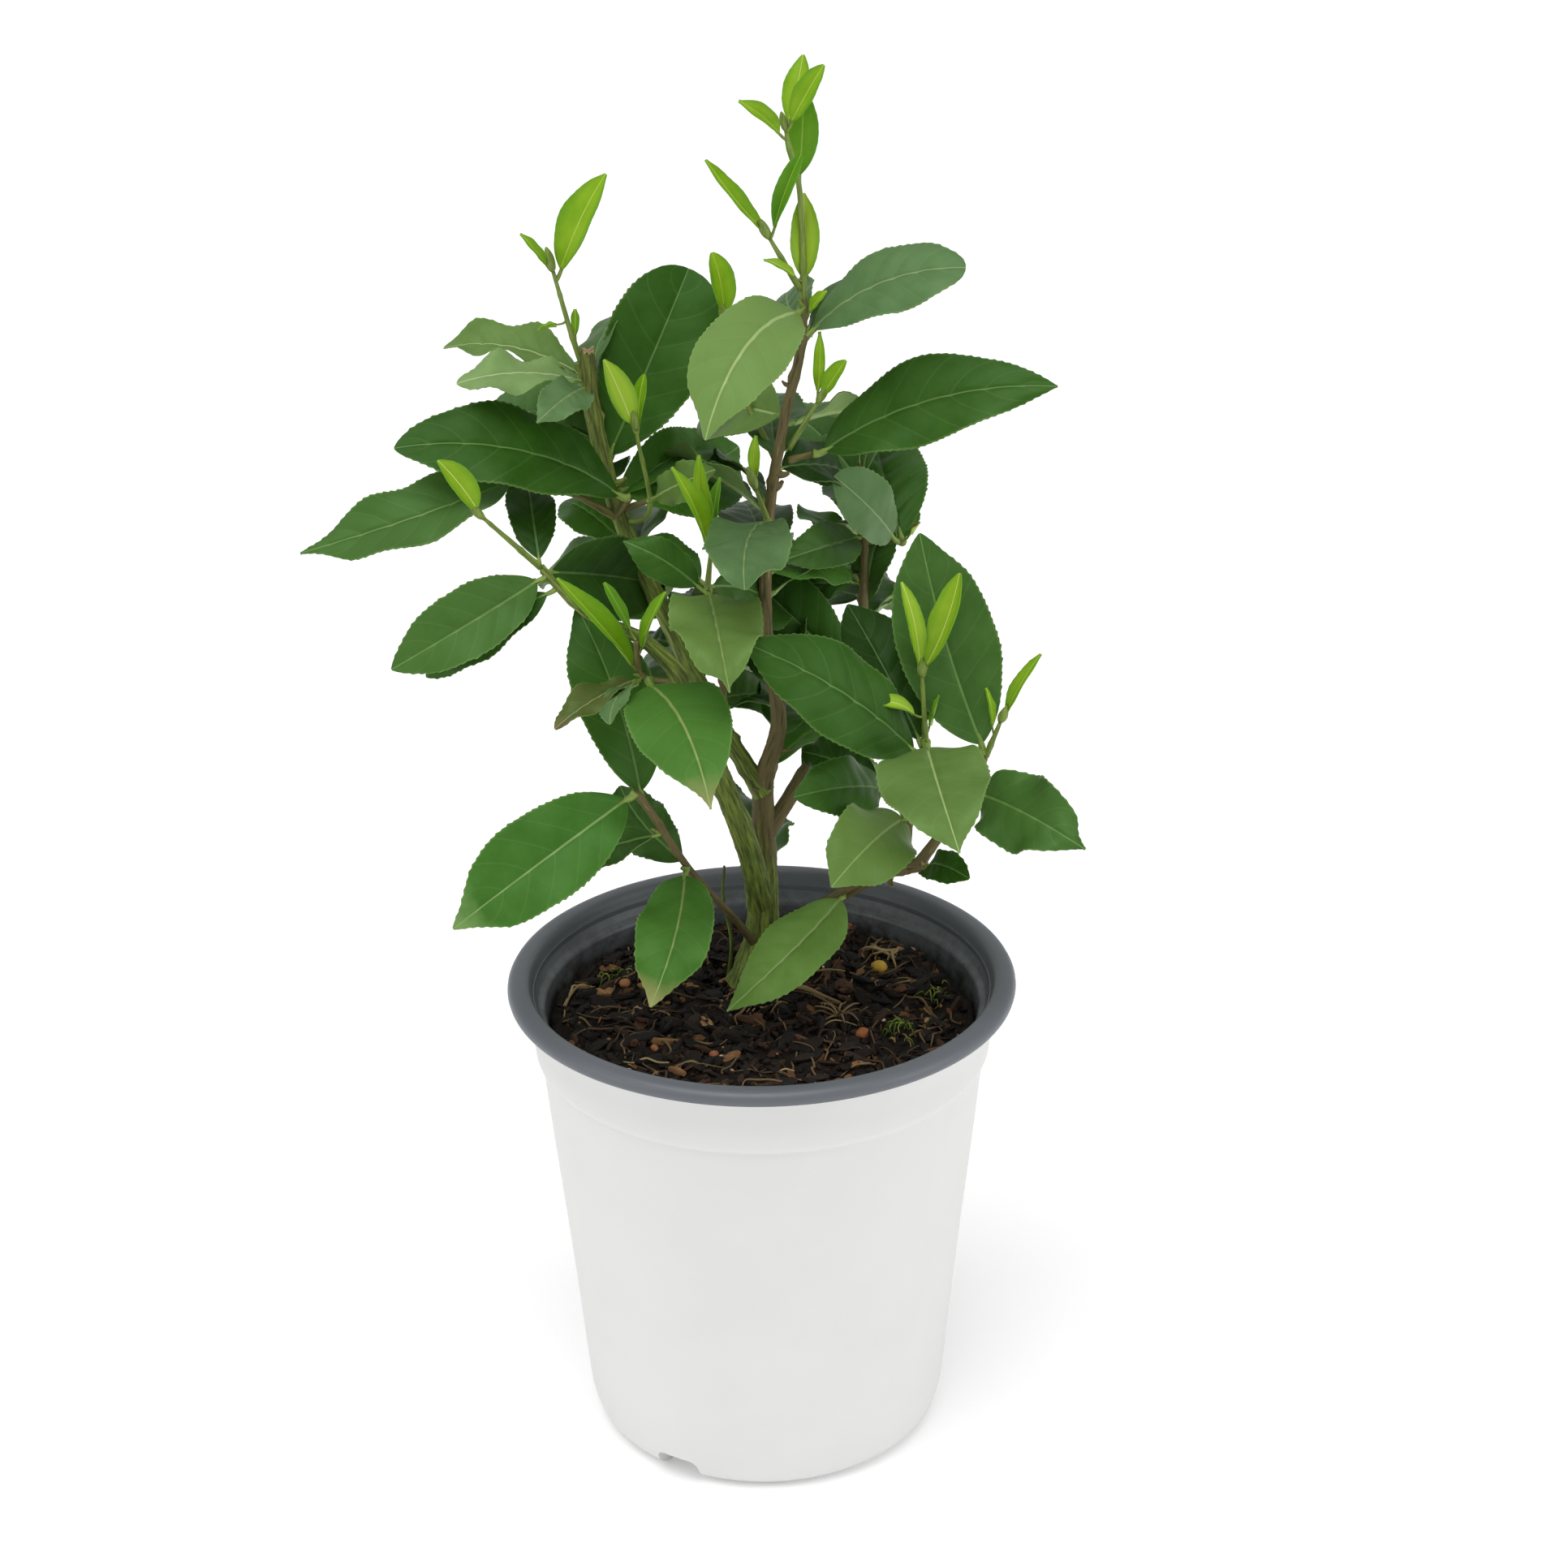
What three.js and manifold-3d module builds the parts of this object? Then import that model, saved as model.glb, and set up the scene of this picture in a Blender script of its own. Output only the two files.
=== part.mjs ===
// A young tea bush in a two-tone nursery pot, in millimetres, +Z up.
// The origin is the centre of the pot's flat underside. +X is to the right, and the pot's front faces -Y.
// The pot is a white shell with six drain notches round its foot, and a grey liner that rolls out over it
// as a rim. The bush is one trunk with its boughs, and masses of foliage that are cut round them. Each mass
// is a core on its limb or twig, with one lobe for each large leaf: a flat spindle of the leaf's own length,
// width and direction.
import * as THREE from "three";
import { mergeVertices } from "three/addons/utils/BufferGeometryUtils.js";
import Module from "manifold-3d";

const wasm = await Module();
wasm.setup();

// Driving dimensions
const POT_HEIGHT = 128;
const RIM_RADIUS = 65; // outermost edge of the rolled rim
const RIM_HEIGHT = 3.6; // depth of the rim's rolled face
const MOUTH_RADIUS = 59.4; // inside edge of the rim
const COLLAR_RADIUS = 59.3; // white band under the rim
const COLLAR_FOOT = 18.6; // how far the band's lower edge lies below the rim's top
const COLLAR_TURN = 3; // height over which the wall runs out into the band
const WALL_RADIUS = 56.8; // white wall just under the band
const FOOT_RADIUS = 42;
const FOOT_FLARE = 5.4; // how far the wall's rounded foot stands out
const FLARE_HEIGHT = 9; // height of that rounding
const SHELL_WALL = 1.1;
const LINER_WALL = 0.9;
const FLOOR = 2;
const GAP = 0.3; // between pieces that touch
const LEDGE_DEPTH = 7; // the liner's stacking ledge, below the rim's top
const SOIL_DEPTH = 11; // soil's surface, below the rim's top
const NOTCHES = 6;
const NOTCH_HEIGHT = 7;
const NOTCH_ANGLE = 16; // degrees of the foot that one notch takes
const NOTCH_REACH = 12; // how far a notch runs in under the floor
const NOTCH_ROOF = 1.6;
const DRAIN_RADIUS = 2.6;
const DRAIN_INSET = 8; // a drain hole's centre, in from the foot's edge
const DRAIN_SIDES = 16;
const BELOW = 5; // how far a cutting solid reaches under the pot
const RIM_ROOM = { beyond: 1, above: 0.5 }; // kept clear of leaves round the pot
const SECTORS = 24; // sides of every turned piece
const LIMB_SIDES = 6;
const CORE_SIDES = 5;
const SHOOT_SIDES = 4;
const LEAF_THICKNESS = 5; // a curled blade's depth
const LEAF_SIDES = 4;
const LEAF_STATIONS = 3;
const LEAF_FULLNESS = 0.87; // how wide a spindle of so few stations is, for its nominal width
const STALK = 3; // a leaf's stalk
const LOBE_ROOT = 0.5; // how far a lobe starts back inside its shoot, as a share of the shoot's radius
const CORE_RADIUS = 3.9; // the leaf stalks and buds round a limb, in the middle of a mass
const CORE_MARGIN = 0.01; // how far that runs past the end leaves, as a share of the limb
const CORE_STEP = 0.25;
const SHOOT_RADIUS = 1.6;
const BACK_OFFSET = 6.5;
const BACK_RADIUS = 2.8;

const SOIL_TOP = POT_HEIGHT - SOIL_DEPTH;
const LINER_RADIUS = WALL_RADIUS - SHELL_WALL - GAP; // the liner's outside, under the band
const LINER_FOOT = FOOT_RADIUS - 4; // edge of the liner's open bottom
const radians = THREE.MathUtils.degToRad;

// Limbs: the points of the centre line, and the radius at each end and between them. Each one starts inside
// the limb that bears it, and is cut back there.
const LIMBS = {
  trunk: {
    course: [[-1, 14, SOIL_TOP + GAP], [0, 15, 130], [1, 17, 150], [1, 17, 173], [5, 15, 190], [2, 15, 215],
      [3, 16, 244], [7, 18, 268], [11, 20, 285], [12, 20, 298]],
    radii: [5.6, 4.4, 3.4, 2.8, 2.3, 1.9, 1.7, 1.5, 1.4, 1.2],
  },
  green_stem: {
    course: [[0, 16, 139], [-3, 7, 159], [-11, -1, 186], [-18, -7, 210], [-27, -8, 221], [-42, -5, 228],
      [-52, -2, 238]],
    radii: [3.2, 3, 2.7, 2.3, 1.7, 1.1, 0.9],
  },
  left_limb: {
    course: [[1, 17, 170], [-9, 18, 187], [-23, 22, 216], [-34, 25, 242], [-40, 26, 269], [-41, 26, 284]],
    radii: [2.4, 2.2, 2.3, 2.4, 2.3, 2.2],
  },
  right_limb: {
    course: [[1, 17, 158], [9, 22, 169], [24, 35, 191], [27, 42, 211], [27, 45, 231], [26, 47, 248]],
    radii: [2.1, 2, 1.6, 1.3, 1.1, 0.9],
  },
  right_low_bough: {
    course: [[1, 14, 129], [12, 6, 141], [22, 2, 149], [32, -5, 158], [41, -10, 162]],
    radii: [1.9, 1.8, 1.7, 1.9, 1.8],
  },
  right_fork_front: {
    course: [[36, -8, 159], [37, -7, 173], [41, -6, 193]],
    radii: [1.4, 1.3, 1.1],
  },
  right_fork_back: {
    course: [[39, -9, 161], [46, -8, 171], [53, -6, 181], [56, -5, 190]],
    radii: [1.4, 1.2, 1, 0.9],
  },
  left_low_twig: {
    course: [[-1, 14, 127], [-6, 5, 139], [-18, -12, 163], [-27, -17, 181], [-30, -20, 187]],
    radii: [1.2, 1, 0.9, 1, 1.1],
  },
  centre_twig: {
    course: [[-8, 18, 185], [-9, 12, 202], [-11, 6, 218], [-12, 2, 232]],
    radii: [1, 0.8, 0.8, 0.8],
  },
};
// The limb that bears each of the others
const BORNE_BY = {
  green_stem: "trunk",
  left_limb: "trunk",
  right_limb: "trunk",
  right_low_bough: "trunk",
  left_low_twig: "trunk",
  right_fork_front: "right_low_bough",
  right_fork_back: "right_low_bough",
  centre_twig: "left_limb",
};

// One leaf: where it leaves its limb or shoot, as a share of that one's length; the way it points, in
// degrees from +X towards +Y, and above level; its length and width; and how far it is turned about its
// own midrib.
const leaf = (at, heading, rise, length, width, roll = 0) => ({ at, heading, rise, length, width, roll });
// Leaves on a stretch of a limb, and leaves on a young shoot or side twig too thin to be a limb of its own
const on = (limb, ...leaves) => ({ limb, leaves });
const shoot = (course, ...leaves) => ({ course, leaves });
// Leaves on a limb's far side, where they stand off it by a twig's width
const behind = (limb, ...leaves) => ({ limb, leaves, offset: BACK_OFFSET });

// The masses of foliage: each is the leaves of one limb's stretch with the shoots that grow out of it.
const MASSES = {
  crown_tip: [
    on("trunk", leaf(0.95, -10, 24, 40, 17, 45), leaf(0.99, -121, -26, 46, 23, -25)),
    shoot([[12, 20, 297], [11, 22, 324], [8, 22, 337]], leaf(0.06, 88, 80, 20, 7), leaf(0.67, 83, 66, 21, 8),
      leaf(0.95, -156, 39, 13, 5, -65), leaf(1, 70, 52, 17, 6), leaf(1, -29, 58, 16, 6, 85)),
    shoot([[11, 20, 300], [4, 16, 313]], leaf(1, -163, 52, 22, 5, -55), leaf(1, 17, 68, 18, 5, 45)),
  ],
  upper_right: [
    on("trunk", leaf(0.77, 57, -20, 33, 15, 40), leaf(0.84, 120, -15, 40, 18, -55)),
    shoot([[8, 18, 258], [14, 17, 260]], leaf(1, -10, 18, 59, 23, 45)),
    shoot([[8, 18, 261], [15, 16, 273]], leaf(0.95, -20, 57, 11, 5, 60)),
  ],
  upper_left: [
    on("left_limb", leaf(0.76, 43, 57, 50, 22, 40), leaf(0.7, 52, 0, 47, 21, 45)),
    shoot([[-35, 25, 243], [-27, 21, 247]], leaf(1, -35, 29, 21, 9, 70)),
    shoot([[-34, 25, 240], [-27, 22, 243], [-29, 18, 266]],
      leaf(0.97, -154, 68, 18, 7, -80), leaf(0.95, 69, 69, 12, 4)),
  ],
  left_top: [
    on("left_limb", leaf(0.95, 163, 6, 35, 13, -25), leaf(0.94, -160, 4, 30, 12, -25),
      leaf(0.93, -114, -5, 24, 11, -30)),
    shoot([[-41, 26, 277], [-44, 25, 287], [-48, 23, 304]],
      leaf(0.92, -10, 63, 26, 10, 55)),
  ],
  left_mid: [
    shoot([[-35, 24, 242], [-31, 21, 248]], leaf(1, -165, 17, 57, 22, -40)),
    shoot([[-35, 24, 242], [-45, 18, 250], [-57, 12, 256]], leaf(1, -164, -14, 52, 19, -30)),
  ],
  left_low: [
    on("green_stem", leaf(0.95, -172, -33, 36, 14, -35), leaf(0.98, -154, -23, 41, 17, -55),
      leaf(0.99, 53, -21, 45, 21, 75), leaf(1, 100, 26, 29, 12)),
    shoot([[-52, -2, 238], [-64, -10, 253]], leaf(1, -154, 56, 16, 7, -70)),
  ],
  centre: [
    on("centre_twig", leaf(0.95, 173, 31, 21, 10, -60), leaf(1, 52, -28, 24, 11, 70),
      leaf(1, 128, 7, 28, 12, -5), leaf(0.97, -83, -10, 45, 22)),
    shoot([[-12, 2, 231], [-11, 2, 240]],
      leaf(1, -142, 65, 23, 6, -80), leaf(1, 138, 82, 21, 5, -20)),
  ],
  centre_front: [
    on("trunk", leaf(0.7, -97, -3, 43, 21)),
    shoot([[3, 15, 243], [0, 14, 252]], leaf(1, 87, 78, 10, 3)),
  ],
  centre_left: [
    shoot([[-18, -7, 210], [-28, -10, 213], [-29, -10, 222]],
      leaf(0.45, -72, -14, 50, 24, 15), leaf(0.55, -140, -15, 24, 9, -15), leaf(0.55, -108, -11, 19, 7, 20),
      leaf(0.6, -148, 53, 32, 7, -55), leaf(0.8, -32, 64, 17, 4, 65)),
  ],
  right_upper: [
    on("right_limb", leaf(0.82, -129, 4, 32, 13, -50)),
    shoot([[27, 45, 228], [37, 44, 228]], leaf(1, 97, 17, 49, 24, -5), leaf(0.9, -135, 44, 29, 13, -85)),
  ],
  right_inner: [
    on("right_limb", leaf(0.46, 165, 42, 42, 19, -60), leaf(0.62, 50, 66, 26, 11, 15),
      leaf(0.7, 178, 0, 24, 10, -75)),
  ],
  right_mid: [
    on("right_fork_front", leaf(0.9, -159, 38, 56, 23, -55), leaf(0.95, 124, 41, 40, 18, -10)),
  ],
  right_front: [
    shoot([[41, -6, 193], [40, -5, 210]], leaf(0.02, -84, -7, 49, 25, 5), leaf(1, 180, 78, 22, 5, -50),
      leaf(1, 27, 68, 24, 6, 25)),
  ],
  right_edge: [
    on("right_fork_back", leaf(0.97, 133, 66, 54, 25, -35), leaf(0.7, -50, 3, 34, 17, 52)),
    shoot([[56, -5, 189], [59, -8, 199]], leaf(1, -14, 63, 18, 4, 50)),
  ],
  lower_right: [
    on("right_fork_front", leaf(0.45, -121, -6, 33, 16, -35)),
    shoot([[37, -7, 172], [32, 3, 178]], leaf(0.9, -132, 15, 34, 15, -60), leaf(1, 139, 3, 25, 11, -50)),
  ],
  foot_right: [
    on("right_low_bough", leaf(0.55, -140, -27, 42, 18, -20), leaf(0.5, 52, 19, 25, 10, 35),
      leaf(0.98, -60, 13, 19, 9, 40)),
  ],
  lower_left: [
    on("left_low_twig", leaf(0.99, -152, -27, 52, 23, -50), leaf(0.8, -176, -26, 39, 12, -30),
      leaf(0.93, 126, 57, 45, 18, -30)),
  ],
  foot_left: [
    on("left_low_twig", leaf(0.62, 125, 20, 30, 14, -30), leaf(0.63, -103, -29, 39, 19, -5)),
  ],
  back_high: [
    behind("left_limb", leaf(0.96, 70, 10, 40, 17, -35), leaf(0.88, 95, 0, 44, 19, -35),
      leaf(0.8, 130, 0, 44, 19, -35), leaf(0.73, 106, -20, 42, 18)),
  ],
  back_left: [
    behind("left_limb", leaf(0.57, 80, 0, 44, 19, -35), leaf(0.55, 130, -20, 42, 18, -35),
      leaf(0.42, 106, 0, 46, 20, -35), leaf(0.25, 110, -6, 42, 18, -35)),
  ],
  back_crown: [
    behind("trunk", leaf(0.95, 94, 0, 40, 17, -35), leaf(0.94, 50, 22, 34, 14, -35),
      leaf(0.83, 40, -8, 36, 15, -35), leaf(0.78, 88, 4, 44, 19), leaf(0.71, 130, 0, 42, 18, 35)),
    shoot([[5, 24, 256], [-4, 30, 274], [-7, 32, 288]], leaf(1, 133, 75, 15, 7, -25)),
  ],
  back_centre: [
    behind("trunk", leaf(0.64, 98, 0, 44, 19), leaf(0.59, 52, 0, 40, 17, -35),
      leaf(0.54, 110, -34, 42, 18, -35), leaf(0.46, 80, 0, 44, 19, -35)),
  ],
  back_right: [
    behind("right_limb", leaf(0.96, 118, 10, 42, 18, -35), leaf(0.96, 70, 20, 40, 17, -35),
      leaf(0.84, 90, -5, 44, 19), leaf(0.66, 110, -10, 46, 20, -35), leaf(0.6, 58, -10, 42, 18, -35)),
  ],
  back_low: [
    behind("right_limb", leaf(0.43, 68, -26, 44, 19, -35), leaf(0.34, 100, -28, 44, 19, -35),
      leaf(0.17, 58, -20, 40, 17, -35)),
  ],
  back_foot: [
    behind("trunk", leaf(0.17, 88, -10, 40, 17, -35), leaf(0.23, 125, 4, 40, 17, 35)),
  ],
};

const direction = (heading, rise) =>
  new THREE.Vector3(
    Math.cos(radians(rise)) * Math.cos(radians(heading)),
    Math.cos(radians(rise)) * Math.sin(radians(heading)),
    Math.sin(radians(rise)),
  );

// Solids: a THREE geometry as a manifold, and back.
function solid(geometry) {
  const bare = geometry.index ? geometry.toNonIndexed() : geometry.clone();
  for (const name of Object.keys(bare.attributes)) if (name !== "position") bare.deleteAttribute(name);
  const merged = mergeVertices(bare, 1e-4);
  return new wasm.Manifold(
    new wasm.Mesh({
      numProp: 3,
      vertProperties: new Float32Array(merged.attributes.position.array),
      triVerts: new Uint32Array(merged.index.array),
    }),
  );
}

function geometryOf(manifold) {
  const { vertProperties, triVerts, numProp } = manifold.getMesh();
  const geometry = new THREE.BufferGeometry();
  const positions = new Float32Array(triVerts.length * 3);
  triVerts.forEach((v, i) => {
    for (let k = 0; k < 3; k++) positions[3 * i + k] = vertProperties[numProp * v + k];
  });
  geometry.setAttribute("position", new THREE.BufferAttribute(positions, 3));
  geometry.computeVertexNormals();
  return geometry;
}

// A closed profile of [radius, height] turned about Z. It runs upwards on the outside, so that its faces
// point out.
function turned(profile) {
  const points = [...profile, profile[0]].map(([r, z]) => new THREE.Vector2(r, z));
  return new THREE.LatheGeometry(points, SECTORS).rotateX(Math.PI / 2);
}

// A tube whose radius changes from ring to ring along a smooth line through the course's points.
function limbSolid({ course, radii }, extra = 0, sides = LIMB_SIDES, rings = 1) {
  const curve = curveOf(course);
  const steps = (course.length - 1) * rings;
  const { normals, binormals } = curve.computeFrenetFrames(steps, false);
  const positions = [];
  const indices = [];
  for (let i = 0; i <= steps; i++) {
    // Uniform in the curve's own parameter, so that a ring's radius is the one that its point was given
    const at = (i / steps) * (radii.length - 1);
    const low = Math.min(Math.floor(at), radii.length - 2);
    const radius = THREE.MathUtils.lerp(radii[low], radii[low + 1], at - low) + extra;
    const centre = curve.getPoint(i / steps);
    const beyond = i === 0 ? -extra : i === steps ? extra : 0;
    centre.addScaledVector(curve.getTangent(i / steps), beyond);
    const level = extra === 0 && i === 0 && course[0][2] === SOIL_TOP + GAP;
    const u = level ? new THREE.Vector3(1, 0, 0) : normals[i];
    const v = level ? new THREE.Vector3(0, 1, 0) : binormals[i];
    for (let k = 0; k < sides; k++) {
      const turn = (k / sides) * 2 * Math.PI;
      const p = centre.clone();
      p.addScaledVector(u, radius * Math.cos(turn));
      p.addScaledVector(v, radius * Math.sin(turn));
      positions.push(p.x, p.y, p.z);
    }
  }
  const ring = (i, k) => i * sides + (k % sides);
  for (let i = 0; i < steps; i++)
    for (let k = 0; k < sides; k++) {
      indices.push(ring(i, k), ring(i, k + 1), ring(i + 1, k));
      indices.push(ring(i, k + 1), ring(i + 1, k + 1), ring(i + 1, k));
    }
  for (let k = 1; k < sides - 1; k++) {
    indices.push(ring(0, 0), ring(0, k + 1), ring(0, k));
    indices.push(ring(steps, 0), ring(steps, k), ring(steps, k + 1));
  }
  const geometry = new THREE.BufferGeometry();
  geometry.setAttribute("position", new THREE.Float32BufferAttribute(positions, 3));
  geometry.setIndex(indices);
  const made = solid(geometry);
  return made.volume() < 0 ? solid(flipped(geometry)) : made;
}

function flipped(geometry) {
  const turnedRound = geometry.clone();
  const index = Array.from(geometry.index.array);
  for (let i = 0; i < index.length; i += 3) [index[i + 1], index[i + 2]] = [index[i + 2], index[i + 1]];
  turnedRound.setIndex(index);
  return turnedRound;
}

function curveOf(course) {
  const points = course.map((p) => new THREE.Vector3(...p));
  return new THREE.CatmullRomCurve3(points, false, "centripetal");
}

// A leaf's lobe: a flat spindle, a little into its shoot at one end and out to the leaf's tip at the other.
function lobe(start, root, { heading, rise, length, width, roll }, extra) {
  const along = direction(heading, rise);
  const level = new THREE.Vector3(0, 0, 1).addScaledVector(along, -along.z).normalize();
  const up = level.applyAxisAngle(along, radians(roll));
  const across = new THREE.Vector3().crossVectors(up, along);
  const reach = length + STALK;
  const centre = start.clone().addScaledVector(along, (reach - root) / 2);
  const spindle = new THREE.SphereGeometry(1, LEAF_SIDES, LEAF_STATIONS)
    .scale(width / 2 / LEAF_FULLNESS + extra, (reach + root) / 2 + 2 * extra, LEAF_THICKNESS / 2 + extra)
    .applyMatrix4(new THREE.Matrix4().makeBasis(across.negate(), along, up).setPosition(centre));
  const made = solid(spindle);
  return made.volume() < 0 ? solid(flipped(mergeVertices(spindle))) : made;
}

// A straight tube between two points, run on a little past both
function rod(start, end, radius, sides, extra) {
  const run = end.clone().sub(start).normalize().multiplyScalar(1);
  const course = [start.clone().sub(run), end.clone().add(run)].map((p) => p.toArray());
  return limbSolid({ course, radii: [radius, radius] }, extra, sides);
}

function spraySolid({ limb, course, leaves, offset = 0 }, extra) {
  const curve = curveOf(limb ? LIMBS[limb].course : course);
  const back = new THREE.Vector3(0, offset, 0);
  const shares = leaves.map((l) => l.at);
  const low = limb ? Math.min(...shares) - CORE_MARGIN : 0;
  const high = limb ? Math.min(1, Math.max(...shares) + CORE_MARGIN) : 1;
  const radius = !limb ? SHOOT_RADIUS : offset ? BACK_RADIUS : CORE_RADIUS;
  const count = limb ? Math.ceil((high - low) / CORE_STEP) : course.length - 1;
  const sides = limb ? CORE_SIDES : SHOOT_SIDES;
  const shareAt = (i) => low + ((high - low) * i) / count;
  const stops = [...Array(count + 1).keys()].map((i) => curve.getPointAt(shareAt(i)).add(back));
  const pieces = stops.slice(1).map((stop, i) => rod(stops[i], stop, radius, sides, extra));
  for (const row of leaves) pieces.push(lobe(curve.getPointAt(row.at), radius * LOBE_ROOT, row, extra));
  return pieces;
}

function massSolid(sprays, extra = 0) {
  return sprays.flatMap((spray) => spraySolid(spray, extra)).reduce((a, b) => a.add(b));
}

// The pot's profiles, each as [radius, height]: up the outside and down the inside
const bandFoot = POT_HEIGHT - COLLAR_FOOT;
const bandTurn = bandFoot - COLLAR_TURN;
const rimFoot = POT_HEIGHT - RIM_HEIGHT;
const flareRadius = FOOT_RADIUS + FOOT_FLARE;
const shellProfile = [
  [0, 0],
  [FOOT_RADIUS - 1, 0],
  [FOOT_RADIUS + 0.4, 0.5],
  [FOOT_RADIUS + 3.2, 2.6],
  [flareRadius - 1, FLARE_HEIGHT * 0.55],
  [flareRadius, FLARE_HEIGHT],
  [WALL_RADIUS, bandTurn],
  [COLLAR_RADIUS - 0.8, bandFoot],
  [COLLAR_RADIUS, rimFoot - 2],
  [COLLAR_RADIUS + 1.6, rimFoot - GAP],
  [COLLAR_RADIUS - SHELL_WALL + 0.6, rimFoot - GAP],
  [COLLAR_RADIUS - SHELL_WALL - 0.8, bandFoot],
  [WALL_RADIUS - SHELL_WALL, bandTurn - 0.4],
  [flareRadius - SHELL_WALL, FLARE_HEIGHT],
  [FOOT_RADIUS - SHELL_WALL - 1, FLOOR],
  [0, FLOOR],
];
const linerProfile = [
  [LINER_FOOT, FLOOR + GAP],
  [LINER_FOOT + 1.4, FLOOR + GAP],
  [flareRadius - SHELL_WALL - GAP, FLARE_HEIGHT + 0.4],
  [LINER_RADIUS - 0.1, bandTurn - 0.4],
  [COLLAR_RADIUS - SHELL_WALL - GAP - 1.1, bandFoot - 0.4],
  [MOUTH_RADIUS - 1.2, rimFoot - 0.5],
  [MOUTH_RADIUS - 1.1, rimFoot],
  [RIM_RADIUS - 0.6, rimFoot],
  [RIM_RADIUS, rimFoot + 0.9],
  [RIM_RADIUS - 0.5, POT_HEIGHT - 0.8],
  [RIM_RADIUS - 1.8, POT_HEIGHT],
  [MOUTH_RADIUS + 1.1, POT_HEIGHT],
  [MOUTH_RADIUS, POT_HEIGHT - 1],
  [MOUTH_RADIUS - 2.1, POT_HEIGHT - LEDGE_DEPTH],
  [MOUTH_RADIUS - 3.6, POT_HEIGHT - LEDGE_DEPTH - 0.5],
  [LINER_RADIUS - LINER_WALL - 0.1, bandTurn - 0.4],
  [flareRadius - SHELL_WALL - GAP - LINER_WALL, FLARE_HEIGHT + 0.4],
];
const soilProfile = [
  [0, FLOOR + GAP],
  [LINER_FOOT - GAP - 0.6, FLOOR + GAP],
  [flareRadius - SHELL_WALL - LINER_WALL - 3 * GAP, FLARE_HEIGHT + 0.4],
  [LINER_RADIUS - LINER_WALL - 2 * GAP, bandTurn - 0.6],
  [MOUTH_RADIUS - 4.6, SOIL_TOP - 2.2],
  [MOUTH_RADIUS - 9, SOIL_TOP - 0.6],
  [MOUTH_RADIUS - 24, SOIL_TOP],
  [0, SOIL_TOP],
];

// A drain notch's sector of a ring, from the foot's outside in under the floor, grown by extra on every side.
function notchSector(index, extra, low) {
  const half = radians(NOTCH_ANGLE / 2) + extra / FOOT_RADIUS;
  const middle = radians(-90 + (360 / NOTCHES) * (index + 0.5));
  const inner = FOOT_RADIUS - NOTCH_REACH - extra;
  const shape = new THREE.Shape();
  shape.absarc(0, 0, FOOT_RADIUS + NOTCH_REACH, middle - half, middle + half, false);
  shape.absarc(0, 0, inner, middle + half, middle - half, true);
  shape.closePath();
  const depth = NOTCH_HEIGHT + extra - low;
  return solid(
    new THREE.ExtrudeGeometry(shape, { depth, bevelEnabled: false, curveSegments: 4 }).translate(0, 0, low));
}

// A drain hole through the floor, at the middle of its notch
function drain(index) {
  const angle = radians(-90 + (360 / NOTCHES) * (index + 0.5));
  const radius = FOOT_RADIUS - DRAIN_INSET;
  return solid(
    new THREE.CylinderGeometry(DRAIN_RADIUS, DRAIN_RADIUS, 4 * BELOW, DRAIN_SIDES)
      .rotateX(Math.PI / 2)
      .translate(radius * Math.cos(angle), radius * Math.sin(angle), 0));
}

const union = (manifolds) => manifolds.reduce((a, b) => a.add(b));
const aroundFoot = (make) => union([...Array(NOTCHES).keys()].map(make));
const outside = shellProfile.slice(1, 10);
const wallOutside = solid(turned([[0, -1], ...outside, [0, POT_HEIGHT]]));
const pockets = aroundFoot((i) => notchSector(i, NOTCH_ROOF, 0).intersect(wallOutside));
const notches = aroundFoot((i) => notchSector(i, 0, -BELOW));
const pocketRoom = aroundFoot((i) => notchSector(i, NOTCH_ROOF + GAP, -BELOW));
const drains = aroundFoot(drain);

const solids = {};
solids.pot_shell = solid(turned(shellProfile)).add(pockets).subtract(notches).subtract(drains);
solids.pot_liner = solid(turned(linerProfile)).subtract(pocketRoom);
solids.soil = solid(turned(soilProfile)).subtract(pocketRoom);

// The limbs, each cut back by those that bear it and by those made before it
const limbNames = Object.keys(LIMBS);
for (const name of limbNames) {
  let made = limbSolid(LIMBS[name]);
  for (const other of limbNames.slice(0, limbNames.indexOf(name)))
    made = made.subtract(limbSolid(LIMBS[other], GAP));
  if (BORNE_BY[name]) made = largest(made);
  solids[name] = made;
}

function largest(manifold) {
  return manifold.decompose().sort((a, b) => b.volume() - a.volume())[0];
}

// The masses, cut round the limbs, the rim and the masses made before them
const limbRoom = union(limbNames.map((name) => limbSolid(LIMBS[name], GAP)));
const clearRadius = RIM_RADIUS + RIM_ROOM.beyond;
const clearHeight = POT_HEIGHT + RIM_ROOM.above;
const potRoom = solid(turned([[0, 0], [clearRadius, 0], [clearRadius, clearHeight], [0, clearHeight]]));
let taken = limbRoom.add(potRoom);
for (const [name, sprays] of Object.entries(MASSES)) {
  solids[name] = largest(massSolid(sprays).subtract(taken));
  taken = taken.add(massSolid(sprays, GAP));
}

// Colours, roughness and metalness
const finish = (color, roughness) => new THREE.MeshStandardMaterial({ color, roughness, metalness: 0 });
const WHITE = finish("#e9eaea", 0.5);
const GREY = finish("#6d7078", 0.45);
const PEAT = finish("#2b1d14", 0.95);
const BARK = finish("#6a5138", 0.8);
const GREEN_BARK = finish("#6d7a3a", 0.7);
const LEAF = finish("#3d7130", 0.45);
const FINISH = { pot_shell: WHITE, pot_liner: GREY, soil: PEAT, green_stem: GREEN_BARK };

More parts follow.
